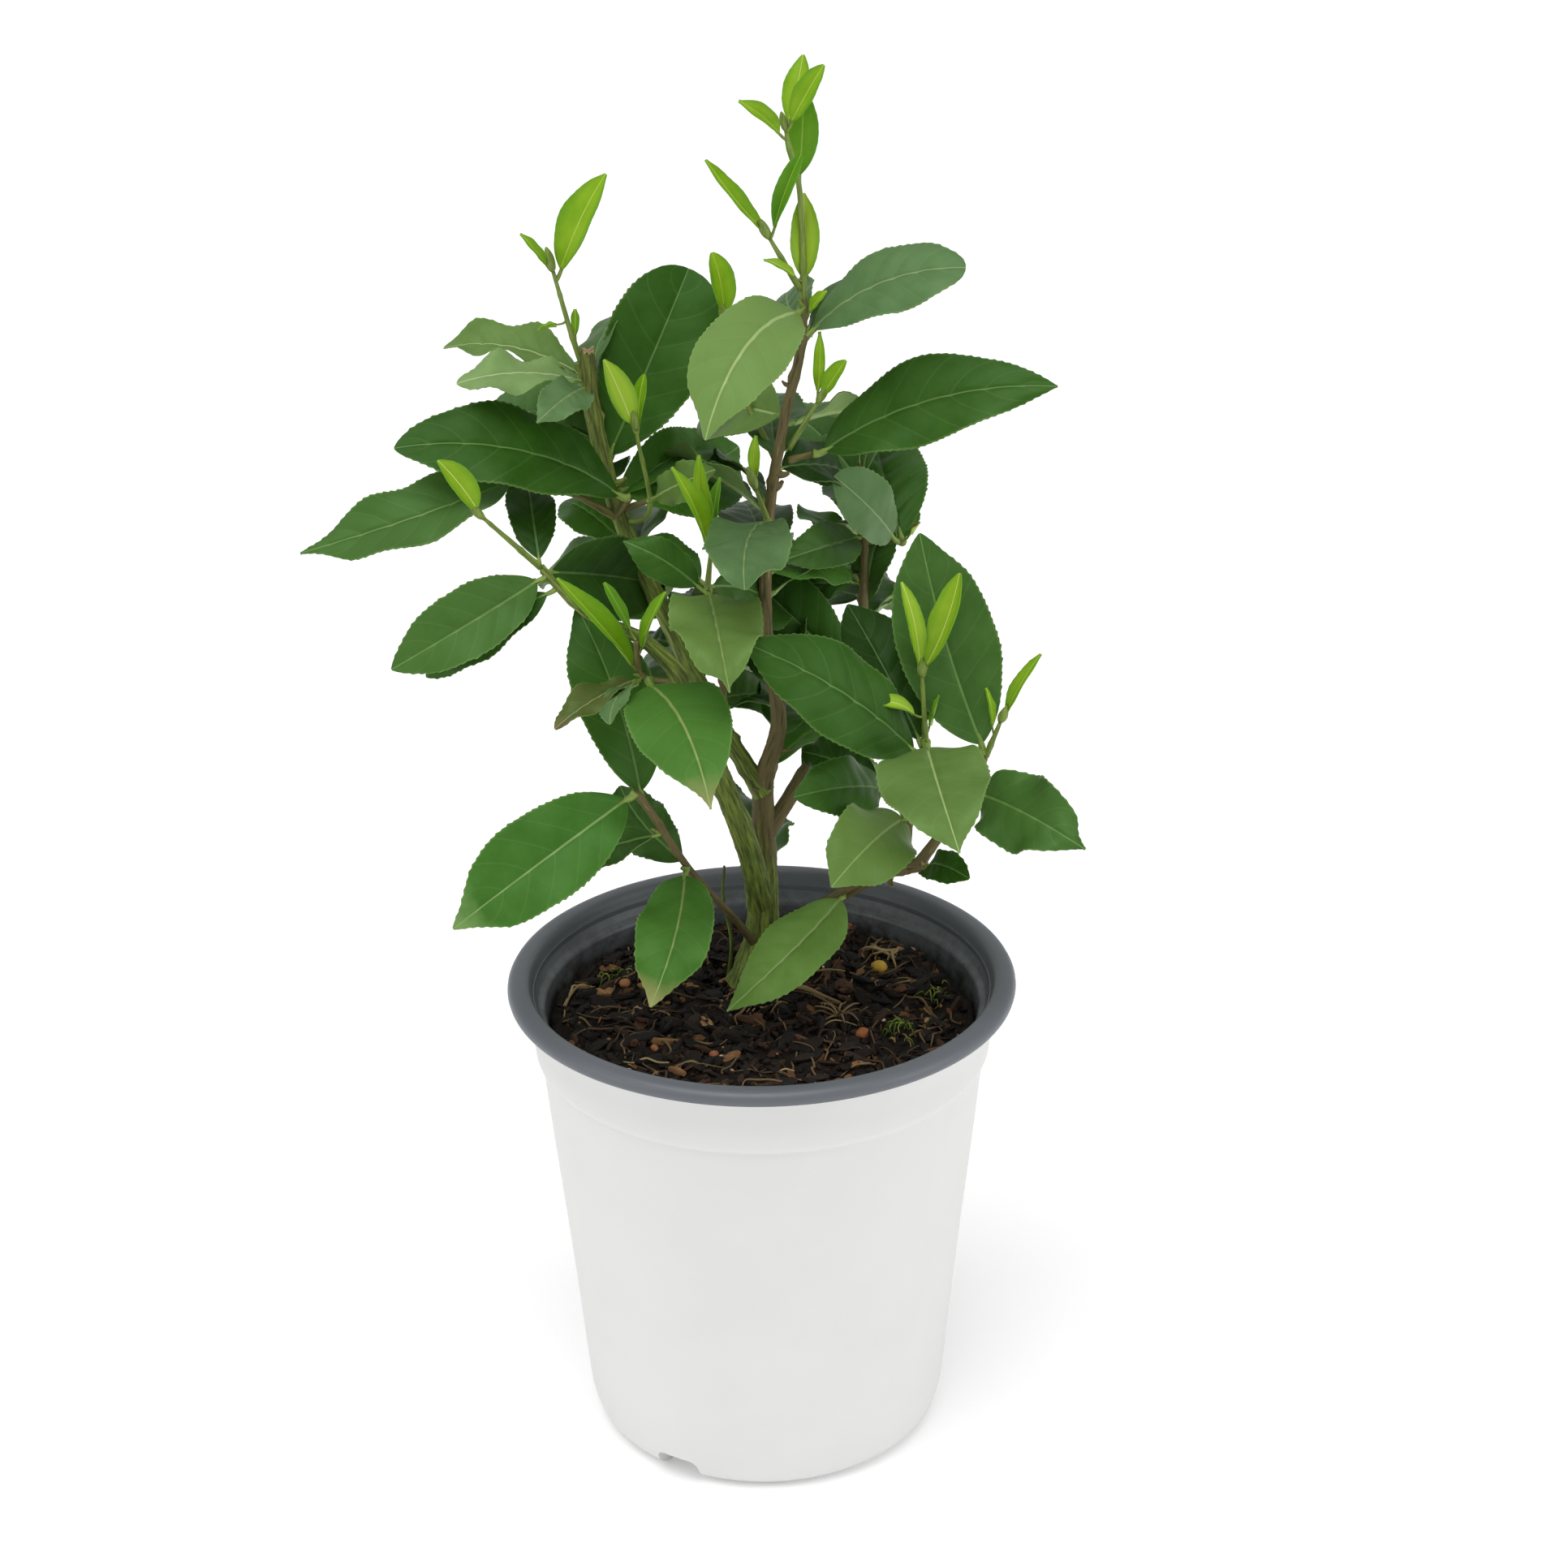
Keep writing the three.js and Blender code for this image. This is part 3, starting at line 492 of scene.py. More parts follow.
def litter(name, stops, roughness):
    """Broken plant stuff: each bit has its own shade, held in the attribute tone, and a fibrous grain."""
    made, tree, shader = new_material(name, roughness, 0.35)
    tone = add(tree, "ShaderNodeAttribute", attribute_name="tone")
    place = add(tree, "ShaderNodeTexCoord").outputs["Object"]
    grain = add(tree, "ShaderNodeTexNoise", {
        "Vector": place, "Scale": 900.0, "Detail": 3.0, "Roughness": 0.65})
    shifted = add(tree, "ShaderNodeMath", {
        0: grain.outputs["Fac"], 1: 0.3, 2: tone.outputs["Fac"]}, operation="MULTIPLY_ADD")
    centred = add(tree, "ShaderNodeMath", {0: shifted.outputs["Value"], 1: 0.15}, operation="SUBTRACT")
    hue = add(tree, "ShaderNodeValToRGB", {"Fac": centred.outputs["Value"]}, ramp=stops)
    tree.links.new(hue.outputs["Color"], shader.inputs["Base Color"])
    bump = add(tree, "ShaderNodeBump", {"Height": grain.outputs["Fac"], "Strength": 0.6, "Distance": 0.0004})
    tree.links.new(bump.outputs["Normal"], shader.inputs["Normal"])
    return made


def tea_bark(name, colour, green, green_below, green_above):
    """Young tea bark: smooth brown skin streaked with grey along the limb, green where it is youngest.

    The pattern follows the attribute grain, which holds a point's place round and along its limb in
    millimetres.
    """
    made, tree, shader = new_material(name, 0.72, 0.35)
    grain = add(tree, "ShaderNodeAttribute", attribute_name="grain").outputs["Vector"]
    # Streaks 0.6 mm across and about 8 mm long
    along = add(tree, "ShaderNodeMapping", {"Vector": grain, "Scale": (1.0, 1.0, 0.09)})
    streaks = add(tree, "ShaderNodeTexNoise", {
        "Vector": along.outputs["Vector"], "Scale": 1.5, "Detail": 5.0, "Roughness": 0.62})
    lighter = tuple(min(1, c * 2.4 + 0.02) for c in colour[:3]) + (1,)
    darker = tuple(c * 0.3 for c in colour[:3]) + (1,)
    brown = add(tree, "ShaderNodeValToRGB", {"Fac": streaks.outputs["Fac"]}, ramp=[
        (0.3, darker), (0.48, tuple(colour)), (0.62, tuple(colour)), (0.76, lighter)])
    green_light = tuple(min(1, c * f) for c, f in zip(green[:3], (2.3, 1.9, 1.6))) + (1,)
    green_dark = tuple(c * 0.45 for c in green[:3]) + (1,)
    fresh = add(tree, "ShaderNodeValToRGB", {"Fac": streaks.outputs["Fac"]}, ramp=[
        (0.28, linear("#4a3b22")), (0.4, green_dark), (0.54, tuple(green)), (0.74, green_light)])
    place = add(tree, "ShaderNodeTexCoord").outputs["Object"]
    height = add(tree, "ShaderNodeSeparateXYZ", {"Vector": place}).outputs["Z"]
    rise = add(tree, "ShaderNodeMapRange", {
        "Value": height, "From Min": green_below * MM, "From Max": green_above * MM, "To Min": 1.0,
        "To Max": 0.0})
    patch = add(tree, "ShaderNodeTexNoise", {
        "Vector": along.outputs["Vector"], "Scale": 0.6, "Detail": 3.0, "Roughness": 0.6})
    edge = add(tree, "ShaderNodeMath", {
        0: patch.outputs["Fac"], 1: 0.9, 2: rise.outputs["Result"]}, operation="MULTIPLY_ADD")
    share = add(tree, "ShaderNodeMapRange", {
        "Value": edge.outputs["Value"], "From Min": 0.75, "From Max": 1.1})
    both = add(tree, "ShaderNodeMix", {
        "Factor": share.outputs["Result"], MIX_A: brown.outputs["Color"], MIX_B: fresh.outputs["Color"]},
        data_type="RGBA")
    tree.links.new(both.outputs[MIX_OUT], shader.inputs["Base Color"])
    dull = add(tree, "ShaderNodeMapRange", {"Value": streaks.outputs["Fac"], "To Min": 0.85, "To Max": 0.6})
    tree.links.new(dull.outputs["Result"], shader.inputs["Roughness"])
    bump = add(tree, "ShaderNodeBump", {
        "Height": streaks.outputs["Fac"], "Strength": 0.55, "Distance": 0.0004})
    tree.links.new(bump.outputs["Normal"], shader.inputs["Normal"])
    return made


def cut_wood(name):
    """A pruning cut: pale dry wood, greyed, with darker flecks."""
    made, tree, shader = new_material(name, 0.8, 0.3)
    place = add(tree, "ShaderNodeTexCoord").outputs["Object"]
    flecks = add(tree, "ShaderNodeTexNoise", {"Vector": place, "Scale": 1400.0, "Detail": 3.0})
    hue = add(tree, "ShaderNodeValToRGB", {
        "Fac": flecks.outputs["Fac"]}, ramp=[(0.35, "#7a6248"), (0.6, "#b59a75")])
    tree.links.new(hue.outputs["Color"], shader.inputs["Base Color"])
    return made


def leaf_blade(name, base, patch, tip, roughness, vein, flush=False):
    """A tea leaf's waxy skin: a soft gloss, paler side veins, and its own shade, held in the attribute tone.

    The map leaf runs across the blade and along it, from the stalk to the tip.
    """
    made, tree, shader = new_material(name, roughness, 0.27)
    shader.inputs["Specular Tint"].default_value = (0.55, 0.95, 0.45, 1)
    where = add(tree, "ShaderNodeUVMap", uv_map="leaf")
    apart = add(tree, "ShaderNodeSeparateXYZ", {"Vector": where.outputs["UV"]})
    aside = add(tree, "ShaderNodeMath", {0: apart.outputs["X"], 1: 0.5}, operation="SUBTRACT")
    out = add(tree, "ShaderNodeMath", {0: aside.outputs["Value"]}, operation="ABSOLUTE")
    share = add(tree, "ShaderNodeMath", {0: out.outputs["Value"], 1: 2.0}, operation="MULTIPLY")
    place = add(tree, "ShaderNodeTexCoord").outputs["Object"]
    clouds = add(tree, "ShaderNodeTexNoise", {
        "Vector": place, "Scale": 130.0, "Detail": 3.0, "Roughness": 0.6})
    tone = add(tree, "ShaderNodeAttribute", attribute_name="tone")
    mixed = add(tree, "ShaderNodeMath", {
        0: clouds.outputs["Fac"], 1: 0.9, 2: tone.outputs["Fac"]}, operation="MULTIPLY_ADD")
    patchy = add(tree, "ShaderNodeMapRange", {
        "Value": mixed.outputs["Value"], "From Min": 0.62, "From Max": 1.2, "To Max": 1.25}, clamp=False)
    hue = add(tree, "ShaderNodeMix", {
        "Factor": patchy.outputs["Result"], MIX_A: linear(base), MIX_B: linear(patch)}, data_type="RGBA")
    # Side veins, about a quarter of a millimetre wide
    bent = add(tree, "ShaderNodeMath", {0: share.outputs["Value"], 1: VEIN_BEND}, operation="POWER")
    swept = add(tree, "ShaderNodeMath", {0: bent.outputs["Value"], 1: -VEIN_SWEEP}, operation="MULTIPLY")
    phase = add(tree, "ShaderNodeMath", {
        0: apart.outputs["Y"], 1: float(VEINS), 2: swept.outputs["Value"]}, operation="MULTIPLY_ADD")
    near = add(tree, "ShaderNodeMath", {0: phase.outputs["Value"], 1: 0.5}, operation="PINGPONG")
    line = add(tree, "ShaderNodeMapRange", {
        "Value": near.outputs["Value"], "From Min": 0.012, "From Max": 0.05, "To Min": vein, "To Max": 0.0})
    veined = add(tree, "ShaderNodeMix", {
        "Factor": line.outputs["Result"], MIX_A: hue.outputs[MIX_OUT], MIX_B: linear("#9db573")},
        data_type="RGBA")
    # The margin of a young leaf is a deeper green than its middle, and that of a grown one a thread paler
    rim = add(tree, "ShaderNodeMapRange", {
        "Value": share.outputs["Value"], "From Min": 0.55 if flush else 0.95, "From Max": 1.0,
        "To Min": 0.0, "To Max": 0.55 if flush else 0.3})
    edged = add(tree, "ShaderNodeMix", {
        "Factor": rim.outputs["Result"], MIX_A: veined.outputs[MIX_OUT],
        MIX_B: linear("#4f8a22" if flush else "#86a35c")}, data_type="RGBA")
    last = edged
    if tip:
        wander = add(tree, "ShaderNodeMath", {
            0: clouds.outputs["Fac"], 1: 0.16, 2: apart.outputs["Y"]}, operation="MULTIPLY_ADD")
        reach = add(tree, "ShaderNodeMapRange", {
            "Value": wander.outputs["Value"], "From Min": 0.9, "From Max": 1.04})
        last = add(tree, "ShaderNodeMix", {
            "Factor": reach.outputs["Result"], MIX_A: edged.outputs[MIX_OUT], MIX_B: linear(tip)},
            data_type="RGBA")
    tree.links.new(last.outputs[MIX_OUT], shader.inputs["Base Color"])
    gloss = add(tree, "ShaderNodeMapRange", {
        "Value": clouds.outputs["Fac"], "To Min": roughness - 0.06, "To Max": roughness + 0.1})
    tree.links.new(gloss.outputs["Result"], shader.inputs["Roughness"])
    cells = add(tree, "ShaderNodeTexNoise", {"Vector": place, "Scale": 1500.0, "Detail": 2.0})
    bump = add(tree, "ShaderNodeBump", {"Height": cells.outputs["Fac"], "Strength": 0.12, "Distance": 0.0002})
    tree.links.new(bump.outputs["Normal"], shader.inputs["Normal"])
    return made


def stalk_skin(name, low, high, roughness=0.5):
    """Green wood of the year: stalks and shoots, smooth, a little shiny, streaked along their length."""
    made, tree, shader = new_material(name, roughness, 0.4)
    grain = add(tree, "ShaderNodeAttribute", attribute_name="grain").outputs["Vector"]
    along = add(tree, "ShaderNodeMapping", {"Vector": grain, "Scale": (1.0, 1.0, 0.12)})
    streaks = add(tree, "ShaderNodeTexNoise", {
        "Vector": along.outputs["Vector"], "Scale": 1.3, "Detail": 3.0, "Roughness": 0.6})
    hue = add(tree, "ShaderNodeValToRGB", {"Fac": streaks.outputs["Fac"]}, ramp=[(0.35, low), (0.65, high)])
    tree.links.new(hue.outputs["Color"], shader.inputs["Base Color"])
    bump = add(tree, "ShaderNodeBump", {
        "Height": streaks.outputs["Fac"], "Strength": 0.2, "Distance": 0.0002})
    tree.links.new(bump.outputs["Normal"], shader.inputs["Normal"])
    return made


def pale_floor(name, colour):
    """Matt studio board: even, with no gloss, and only the faintest cloudiness; it also glows faintly,
    painted light that lifts the plant from below and pales the floor's shadow.
    """
    made, tree, shader = new_material(name, 0.9, 0.1)
    place = add(tree, "ShaderNodeTexCoord").outputs["Object"]
    clouds = add(tree, "ShaderNodeTexNoise", {"Vector": place, "Scale": 3.0})
    hue = add(tree, "ShaderNodeValToRGB", {
        "Fac": clouds.outputs["Fac"]}, ramp=[(0.3, colour), (0.7, "#fdfdfd")])
    tree.links.new(hue.outputs["Color"], shader.inputs["Base Color"])
    # Painted light: the floor glows faintly, lighting the pot's foot and the leaves from below and paling the
    # shadow on the floor
    shader.inputs["Emission Color"].default_value = linear("#ffffff")
    shader.inputs["Emission Strength"].default_value = FLOOR_GLOW
    return made


# Meshes: drawn in millimetres, and turned to metres as they become objects


class Stem:
    """The centre line of a limb, twig or stalk: a smooth curve through its points, measured by its length."""

    PER_SPAN = 16

    def __init__(self, course, radii):
        points = [Vector(p) for p in course]
        ends = [points[0] * 2 - points[1], *points, points[-1] * 2 - points[-2]]
        self.centres = []
        self.radii = []
        for i in range(len(points) - 1):
            before, start, end, after = ends[i:i + 4]
            spans = ((before, start), (start, end), (end, after))
            gaps = [max(1e-4, (b - a).length ** 0.5) for a, b in spans]
            out = self.slope(before, start, end, gaps[0], gaps[1], gaps[1])
            into = self.slope(start, end, after, gaps[1], gaps[2], gaps[1])
            for k in range(self.PER_SPAN + (i == len(points) - 2)):
                t = k / self.PER_SPAN
                self.centres.append(
                    start * (2 * t ** 3 - 3 * t ** 2 + 1) + out * (t ** 3 - 2 * t ** 2 + t)
                    + end * (3 * t ** 2 - 2 * t ** 3) + into * (t ** 3 - t ** 2))
                place = (i + t) / (len(points) - 1) * (len(radii) - 1)
                low = min(int(place), len(radii) - 2)
                self.radii.append(radii[low] + (radii[low + 1] - radii[low]) * (place - low))
        self.lengths = [0.0]
        for a, b in zip(self.centres, self.centres[1:]):
            self.lengths.append(self.lengths[-1] + (b - a).length)
        self.length = self.lengths[-1]
        steps = [b - a for a, b in zip(self.centres, self.centres[1:])]
        self.tangents = [(a + b).normalized() for a, b in zip([steps[0], *steps], [*steps, steps[-1]])]
        side = self.tangents[0].orthogonal().normalized()
        self.sides = []
        for tangent in self.tangents:
            side = (side - tangent * side.dot(tangent)).normalized()
            self.sides.append(side)

    @staticmethod
    def slope(a, b, c, ab, bc, span):
        """The curve's slope at b, for spans paced by the square root of their length."""
        return ((b - a) / ab - (c - a) / (ab + bc) + (c - b) / bc) * span

    def at(self, share):
        """(centre, direction, side, radius) at a share of the length."""
        goal = min(max(share, 0), 1) * self.length
        i = next((k for k in range(1, len(self.lengths)) if self.lengths[k] >= goal), len(self.lengths) - 1)
        span = max(1e-9, self.lengths[i] - self.lengths[i - 1])
        t = (goal - self.lengths[i - 1]) / span
        centre = self.centres[i - 1].lerp(self.centres[i], t)
        tangent = self.tangents[i - 1].lerp(self.tangents[i], t).normalized()
        side = self.sides[i - 1].lerp(self.sides[i], t)
        side = (side - tangent * side.dot(tangent)).normalized()
        return centre, tangent, side, self.radii[i - 1] + (self.radii[i] - self.radii[i - 1]) * t


def rounded_grid(columns, rows, place, leafy=False):
    """A sheet whose point at (column, row) goes where place says, as (bmesh, {vertex: (column, row)})."""
    bm = bmesh.new()
    bm.verts.layers.float.new("tone")
    if leafy:
        bm.loops.layers.uv.new("leaf")
        bm.verts.layers.deform.verify()
    else:
        bm.verts.layers.float_vector.new("grain")
    bmesh.ops.create_grid(bm, x_segments=columns, y_segments=rows, size=1)
    cells = {}
    for v in bm.verts:
        cell = (round((v.co.x + 1) / 2 * columns), round((v.co.y + 1) / 2 * rows))
        cells[v] = cell
    for v, cell in cells.items():
        v.co = place(*cell)
    return bm, cells


def tube(stem, sides, rows, skin, low=0.0, high=1.0):
    """A closed tube along a stem: skin(angle, distance, radius) gives its radius there."""
    rings = []
    for row in range(rows + 1):
        share = low + (high - low) * row / rows
        centre, tangent, side, radius = stem.at(share)
        rings.append((centre, side, tangent.cross(side), radius, share * stem.length))
    grains = {}

    def place(column, row):
        centre, side, other, radius, distance = rings[row]
        angle = TURN * (column % sides) / sides
        out = skin(angle, distance, radius)
        grains[column, row] = Vector((radius * math.cos(angle), radius * math.sin(angle), distance))
        return centre + side * (out * math.cos(angle)) + other * (out * math.sin(angle))

    bm, cells = rounded_grid(sides, rows, place)
    grain = bm.verts.layers.float_vector["grain"]
    by_cell = {cell: v for v, cell in cells.items()}
    for cell, v in by_cell.items():
        v[grain] = grains[cell]
    bmesh.ops.weld_verts(bm, targetmap={by_cell[sides, row]: by_cell[0, row] for row in range(rows + 1)})
    bmesh.ops.holes_fill(bm, edges=[e for e in bm.edges if e.is_boundary], sides=0)
    bmesh.ops.recalc_face_normals(bm, faces=bm.faces)
    for face in bm.faces:
        face.smooth = True
    return bm


def spun(profile, sectors):
    """A closed turned body from (radius, height) points."""
    bm = bmesh.new()
    verts = [bm.verts.new((radius, 0, height)) for radius, height in profile]
    loop = zip(verts, verts[1:] + verts[:1])
    edges = [bm.edges.new(pair) for pair in loop if pair[0].co.x > 0 or pair[1].co.x > 0]
    bmesh.ops.spin(
        bm, geom=verts + edges, axis=(0, 0, 1), cent=(0, 0, 0), angle=TURN, steps=sectors, use_merge=True)
    bmesh.ops.remove_doubles(bm, verts=bm.verts, dist=0.001)
    bmesh.ops.recalc_face_normals(bm, faces=bm.faces)
    return bm


def mesh_object(name, bm, materials=()):
    """An object at the origin from a bmesh in millimetres."""
    bmesh.ops.scale(bm, vec=(MM, MM, MM), verts=bm.verts)
    mesh = bpy.data.meshes.new(name)
    bm.to_mesh(mesh)
    bm.free()
    for material in materials:
        mesh.materials.append(material)
    made = bpy.data.objects.new(name, mesh)
    bpy.context.scene.collection.objects.link(made)
    return made


def joined(name, bodies, materials, groups=()):
    """One object from many bmeshes in millimetres."""
    parts = []
    for bm in bodies:
        part = mesh_object(name, bm, materials)
        for group in groups:
            part.vertex_groups.new(name=group)
        parts.append(part)
    if len(parts) > 1:
        with bpy.context.temp_override(
                active_object=parts[0], object=parts[0], selected_objects=parts,
                selected_editable_objects=parts):
            bpy.ops.object.join()
    parts[0].name = name
    parts[0].data.name = name
    return parts[0]


def shaded(made, sharp_above=180):
    """Smooth shading, with creases where faces meet at more than so many degrees."""
    made.data.polygons.foreach_set("use_smooth", [True] * len(made.data.polygons))
    if sharp_above < 180:
        made.data.set_sharp_from_angle(angle=math.radians(sharp_above))
    return made


def declared(made, slot, *nodes):
    """The piece rides on the plant's one body and stands for its CAD nodes; slot is not used."""
    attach(made, BODY)
    if nodes:
        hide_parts(*nodes)
    return made


def settled(made):
    """The object with its modifiers applied."""
    bpy.context.view_layer.update()
    graph = bpy.context.evaluated_depsgraph_get()
    final = bpy.data.meshes.new_from_object(made.evaluated_get(graph))
    old = made.data
    made.modifiers.clear()
    made.data = final
    final.name = made.name
    bpy.data.meshes.remove(old)
    return made


# The pot


def pot_shell(pot):
    """The white shell: turned, its rims eased, then notched and drained at the foot."""
    shell = mesh_object("pot_shell_moulding", spun(SHELL_PROFILE, POT_SECTORS))
    ease = shell.modifiers.new("ease", "BEVEL")
    ease.width = EDGE_EASE * MM
    ease.segments = 2
    ease.limit_method = "ANGLE"
    ease.angle_limit = EASED_ABOVE
    cutters = []
    for i in range(NOTCHES):
        centre = -math.pi / 2 + TURN / NOTCHES * (i + 0.5)
        bm = bmesh.new()
        bmesh.ops.create_cube(bm, size=1)
        half = NOTCH_ANGLE / 2
        for v in bm.verts:
            radius = NOTCH_INNER if v.co.x < 0 else NOTCH_OUTER
            splay = 1.12 if v.co.z < 0 else 0.9
            angle = half * splay * (1 if v.co.y > 0 else -1)
            height = NOTCH_BELOW if v.co.z < 0 else NOTCH_HEIGHT
            v.co = Vector((radius * math.cos(angle), radius * math.sin(angle), height))
        upper = [e for e in bm.edges if all(v.co.z > 0 for v in e.verts)]
        uprights = [e for e in bm.edges if abs(e.verts[0].co.z - e.verts[1].co.z) > 1]
        bmesh.ops.bevel(
            bm, geom=upper + uprights, offset=NOTCH_BEVEL, offset_type="OFFSET", affect="EDGES", segments=4,
            profile=0.5, material=-1)
        bmesh.ops.rotate(bm, cent=(0, 0, 0), matrix=Matrix.Rotation(centre, 3, "Z"), verts=bm.verts)
        cutters.append(bm)
        drain = bmesh.new()
        bmesh.ops.create_cone(
            drain, cap_ends=True, segments=20, radius1=DRAIN_RADIUS, radius2=DRAIN_RADIUS,
            depth=DRAIN_DEPTH)
        shift = (DRAIN_CIRCLE * math.cos(centre), DRAIN_CIRCLE * math.sin(centre), 0)
        bmesh.ops.translate(drain, vec=shift, verts=drain.verts)
        cutters.append(drain)
    cutter = joined("pot_notches", cutters, ())
    cut = shell.modifiers.new("notches", "BOOLEAN")
    cut.operation = "DIFFERENCE"
    cut.solver = "EXACT"
    cut.object = cutter
    settled(shell)
    bpy.data.objects.remove(cutter)
    shell.data.materials.clear()
    shell.data.materials.append(
        moulded_plastic("white_moulded_polypropylene", pot.shell_colour, 0.45, 0.0, 0, 1))
    shaded(shell, 40)
    declared(shell, "white_shell", "pot_shell")


def pot_liner(pot):
    """The grey liner with its rolled rim and stacking ledge."""
    # Darkened just above the soil: peat dust, and painted shade inside the pot
    grey = moulded_plastic(
        "grey_moulded_polypropylene", pot.liner_colour, 0.4, 0.9, SOIL_TOP - 2, SOIL_TOP + 8)
    liner = mesh_object("pot_liner_moulding", spun(LINER_PROFILE, POT_SECTORS), [grey])
    shaded(liner, 50)
    declared(liner, "grey_liner", "pot_liner")


def soil_height(x, y):
    """How high the soil lies at a place, in millimetres: heaped a little at the middle, lumpy all over."""
    radius = math.hypot(x, y)
    swell = 1.2 * noise.noise(Vector((x * 0.06, y * 0.06, 3.1)))
    lumps = 2.3 * noise.noise(Vector((x * 0.2, y * 0.2, 7.7)))
    crumbs = 0.9 * noise.noise(Vector((x * 0.7, y * 0.7, 1.3)))
    edge = -1.6 * max(0, radius / SOIL_RADIUS - 0.9) / 0.1
    return SOIL_TOP - 0.8 + swell + lumps + crumbs + edge


def soil_body(pot):
    """The soil: a turned body whose top is heaved into crumbs and hollows."""
    top = [(SOIL_RADIUS * (1 - i / SOIL_RINGS) ** 0.9, SOIL_TOP) for i in range(SOIL_RINGS)]
    profile = [(0, 12.4), (42.9, 12.7), (43.9, 16.6), (SOIL_RADIUS - 0.2, 103.4), *top, (0, SOIL_TOP)]
    bm = spun(profile, POT_SECTORS)
    for v in bm.verts:
        if v.co.z > SOIL_TOP - 1:
            v.co.z = soil_height(v.co.x, v.co.y)
    soil = mesh_object("soil_bed", bm, [damp_peat("damp_peat", pot.soil_colour)])
    shaded(soil)
    declared(soil, "bark_mix", "soil")


def toned(bm, tone):
    """Gives a whole bmesh one shade, in the attribute tone."""
    layer = bm.verts.layers.float.get("tone") or bm.verts.layers.float.new("tone")
    for v in bm.verts:
        v[layer] = tone
    return bm


def on_soil(rng, reach=SOIL_RADIUS - 2.5):
    """A random place on the soil."""
    radius = reach * math.sqrt(rng.random())
    angle = rng.uniform(0, TURN)
    return radius * math.cos(angle), radius * math.sin(angle)


def chip(rng, place, length, width, thickness, tone, tilt=0.5):
    """One flake of bark: a block, cut once each way and knocked out of true."""
    bm = bmesh.new()
    bmesh.ops.create_cube(bm, size=1)
    bmesh.ops.subdivide_edges(bm, edges=bm.edges[:], cuts=1, use_grid_fill=True, smooth=0.35)
    for v in bm.verts:
        taper = 1 - 0.55 * abs(v.co.x) ** 1.5
        v.co = Vector((
            v.co.x * length * rng.uniform(0.88, 1.08), v.co.y * width * taper * rng.uniform(0.8, 1.2),
            v.co.z * thickness * rng.uniform(0.6, 1.3)))
    turn = Matrix.Rotation(rng.uniform(0, TURN), 3, "Z")
    lean = Matrix.Rotation(rng.gauss(0, tilt), 3, "X") @ Matrix.Rotation(rng.gauss(0, tilt * 0.6), 3, "Y")
    bmesh.ops.rotate(bm, cent=(0, 0, 0), matrix=turn @ lean, verts=bm.verts)
    x, y = place
    lift = soil_height(x, y) + thickness * 0.2 + rng.uniform(-0.4, 0.5)
    bmesh.ops.translate(bm, vec=(x, y, lift), verts=bm.verts)
    return toned(bm, tone)


def clod(rng, place, size, tone, squash=0.75):
    """A round grain: a prill, a pebble of perlite or a crumb of clay."""
    bm = bmesh.new()
    bmesh.ops.create_icosphere(bm, subdivisions=2, radius=1)
    stretch = Vector((rng.uniform(0.85, 1.15), rng.uniform(0.85, 1.15), squash)) * size
    bmesh.ops.scale(bm, vec=stretch, verts=bm.verts)
    for v in bm.verts:
        v.co *= 1 + 0.12 * noise.noise(v.co * 0.8 + Vector((place[0], place[1], 0)))
    bmesh.ops.rotate(bm, cent=(0, 0, 0), matrix=Matrix.Rotation(rng.uniform(0, TURN), 3, "Z"), verts=bm.verts)
    lift = soil_height(*place) + size * 0.45
    bmesh.ops.translate(bm, vec=(place[0], place[1], lift), verts=bm.verts)
    for face in bm.faces:
        face.smooth = True
    return toned(bm, tone)


def straw(rng, start, heading, length, radius, tone, lift=0.4, bend=0.5):
    """A root, straw or stalk lying on the soil."""
    course = []
    x, y = start
    steps = 5
    for k in range(steps):
        rise = lift * math.sin(math.pi * k / (steps - 1)) * 2
        course.append((x, y, soil_height(x, y) + radius + 0.25 + rise))
        x += length / (steps - 1) * math.cos(heading)
        y += length / (steps - 1) * math.sin(heading)
        heading += rng.gauss(0, bend)
        if math.hypot(x, y) > SOIL_RADIUS - 2:
            break
    if len(course) < 3:
        return None
    stem = Stem(course, [radius * 0.8, radius, radius * 0.5])
    return toned(tube(stem, 5, 4 * len(course), lambda angle, distance, r: r), tone)


BARK_SHADES = [(0.0, "#0b0704"), (0.25, "#1c120a"), (0.5, "#402818"), (0.75, "#6e492a"), (1.0, "#a88254")]
STRAW_SHADES = [(0.0, "#2a1d12"), (0.35, "#5a4630"), (0.7, "#8d7650"), (1.0, "#b7a478")]
GRAIN_SHADES = [(0.0, "#6b3a1c"), (0.3, "#9a5a30"), (0.6, "#b98a66"), (0.8, "#c9a02a"), (1.0, "#d8d2c4")]
MOSS_SHADES = [(0.0, "#2f3a14"), (0.5, "#56701f"), (1.0, "#8a9c3c")]


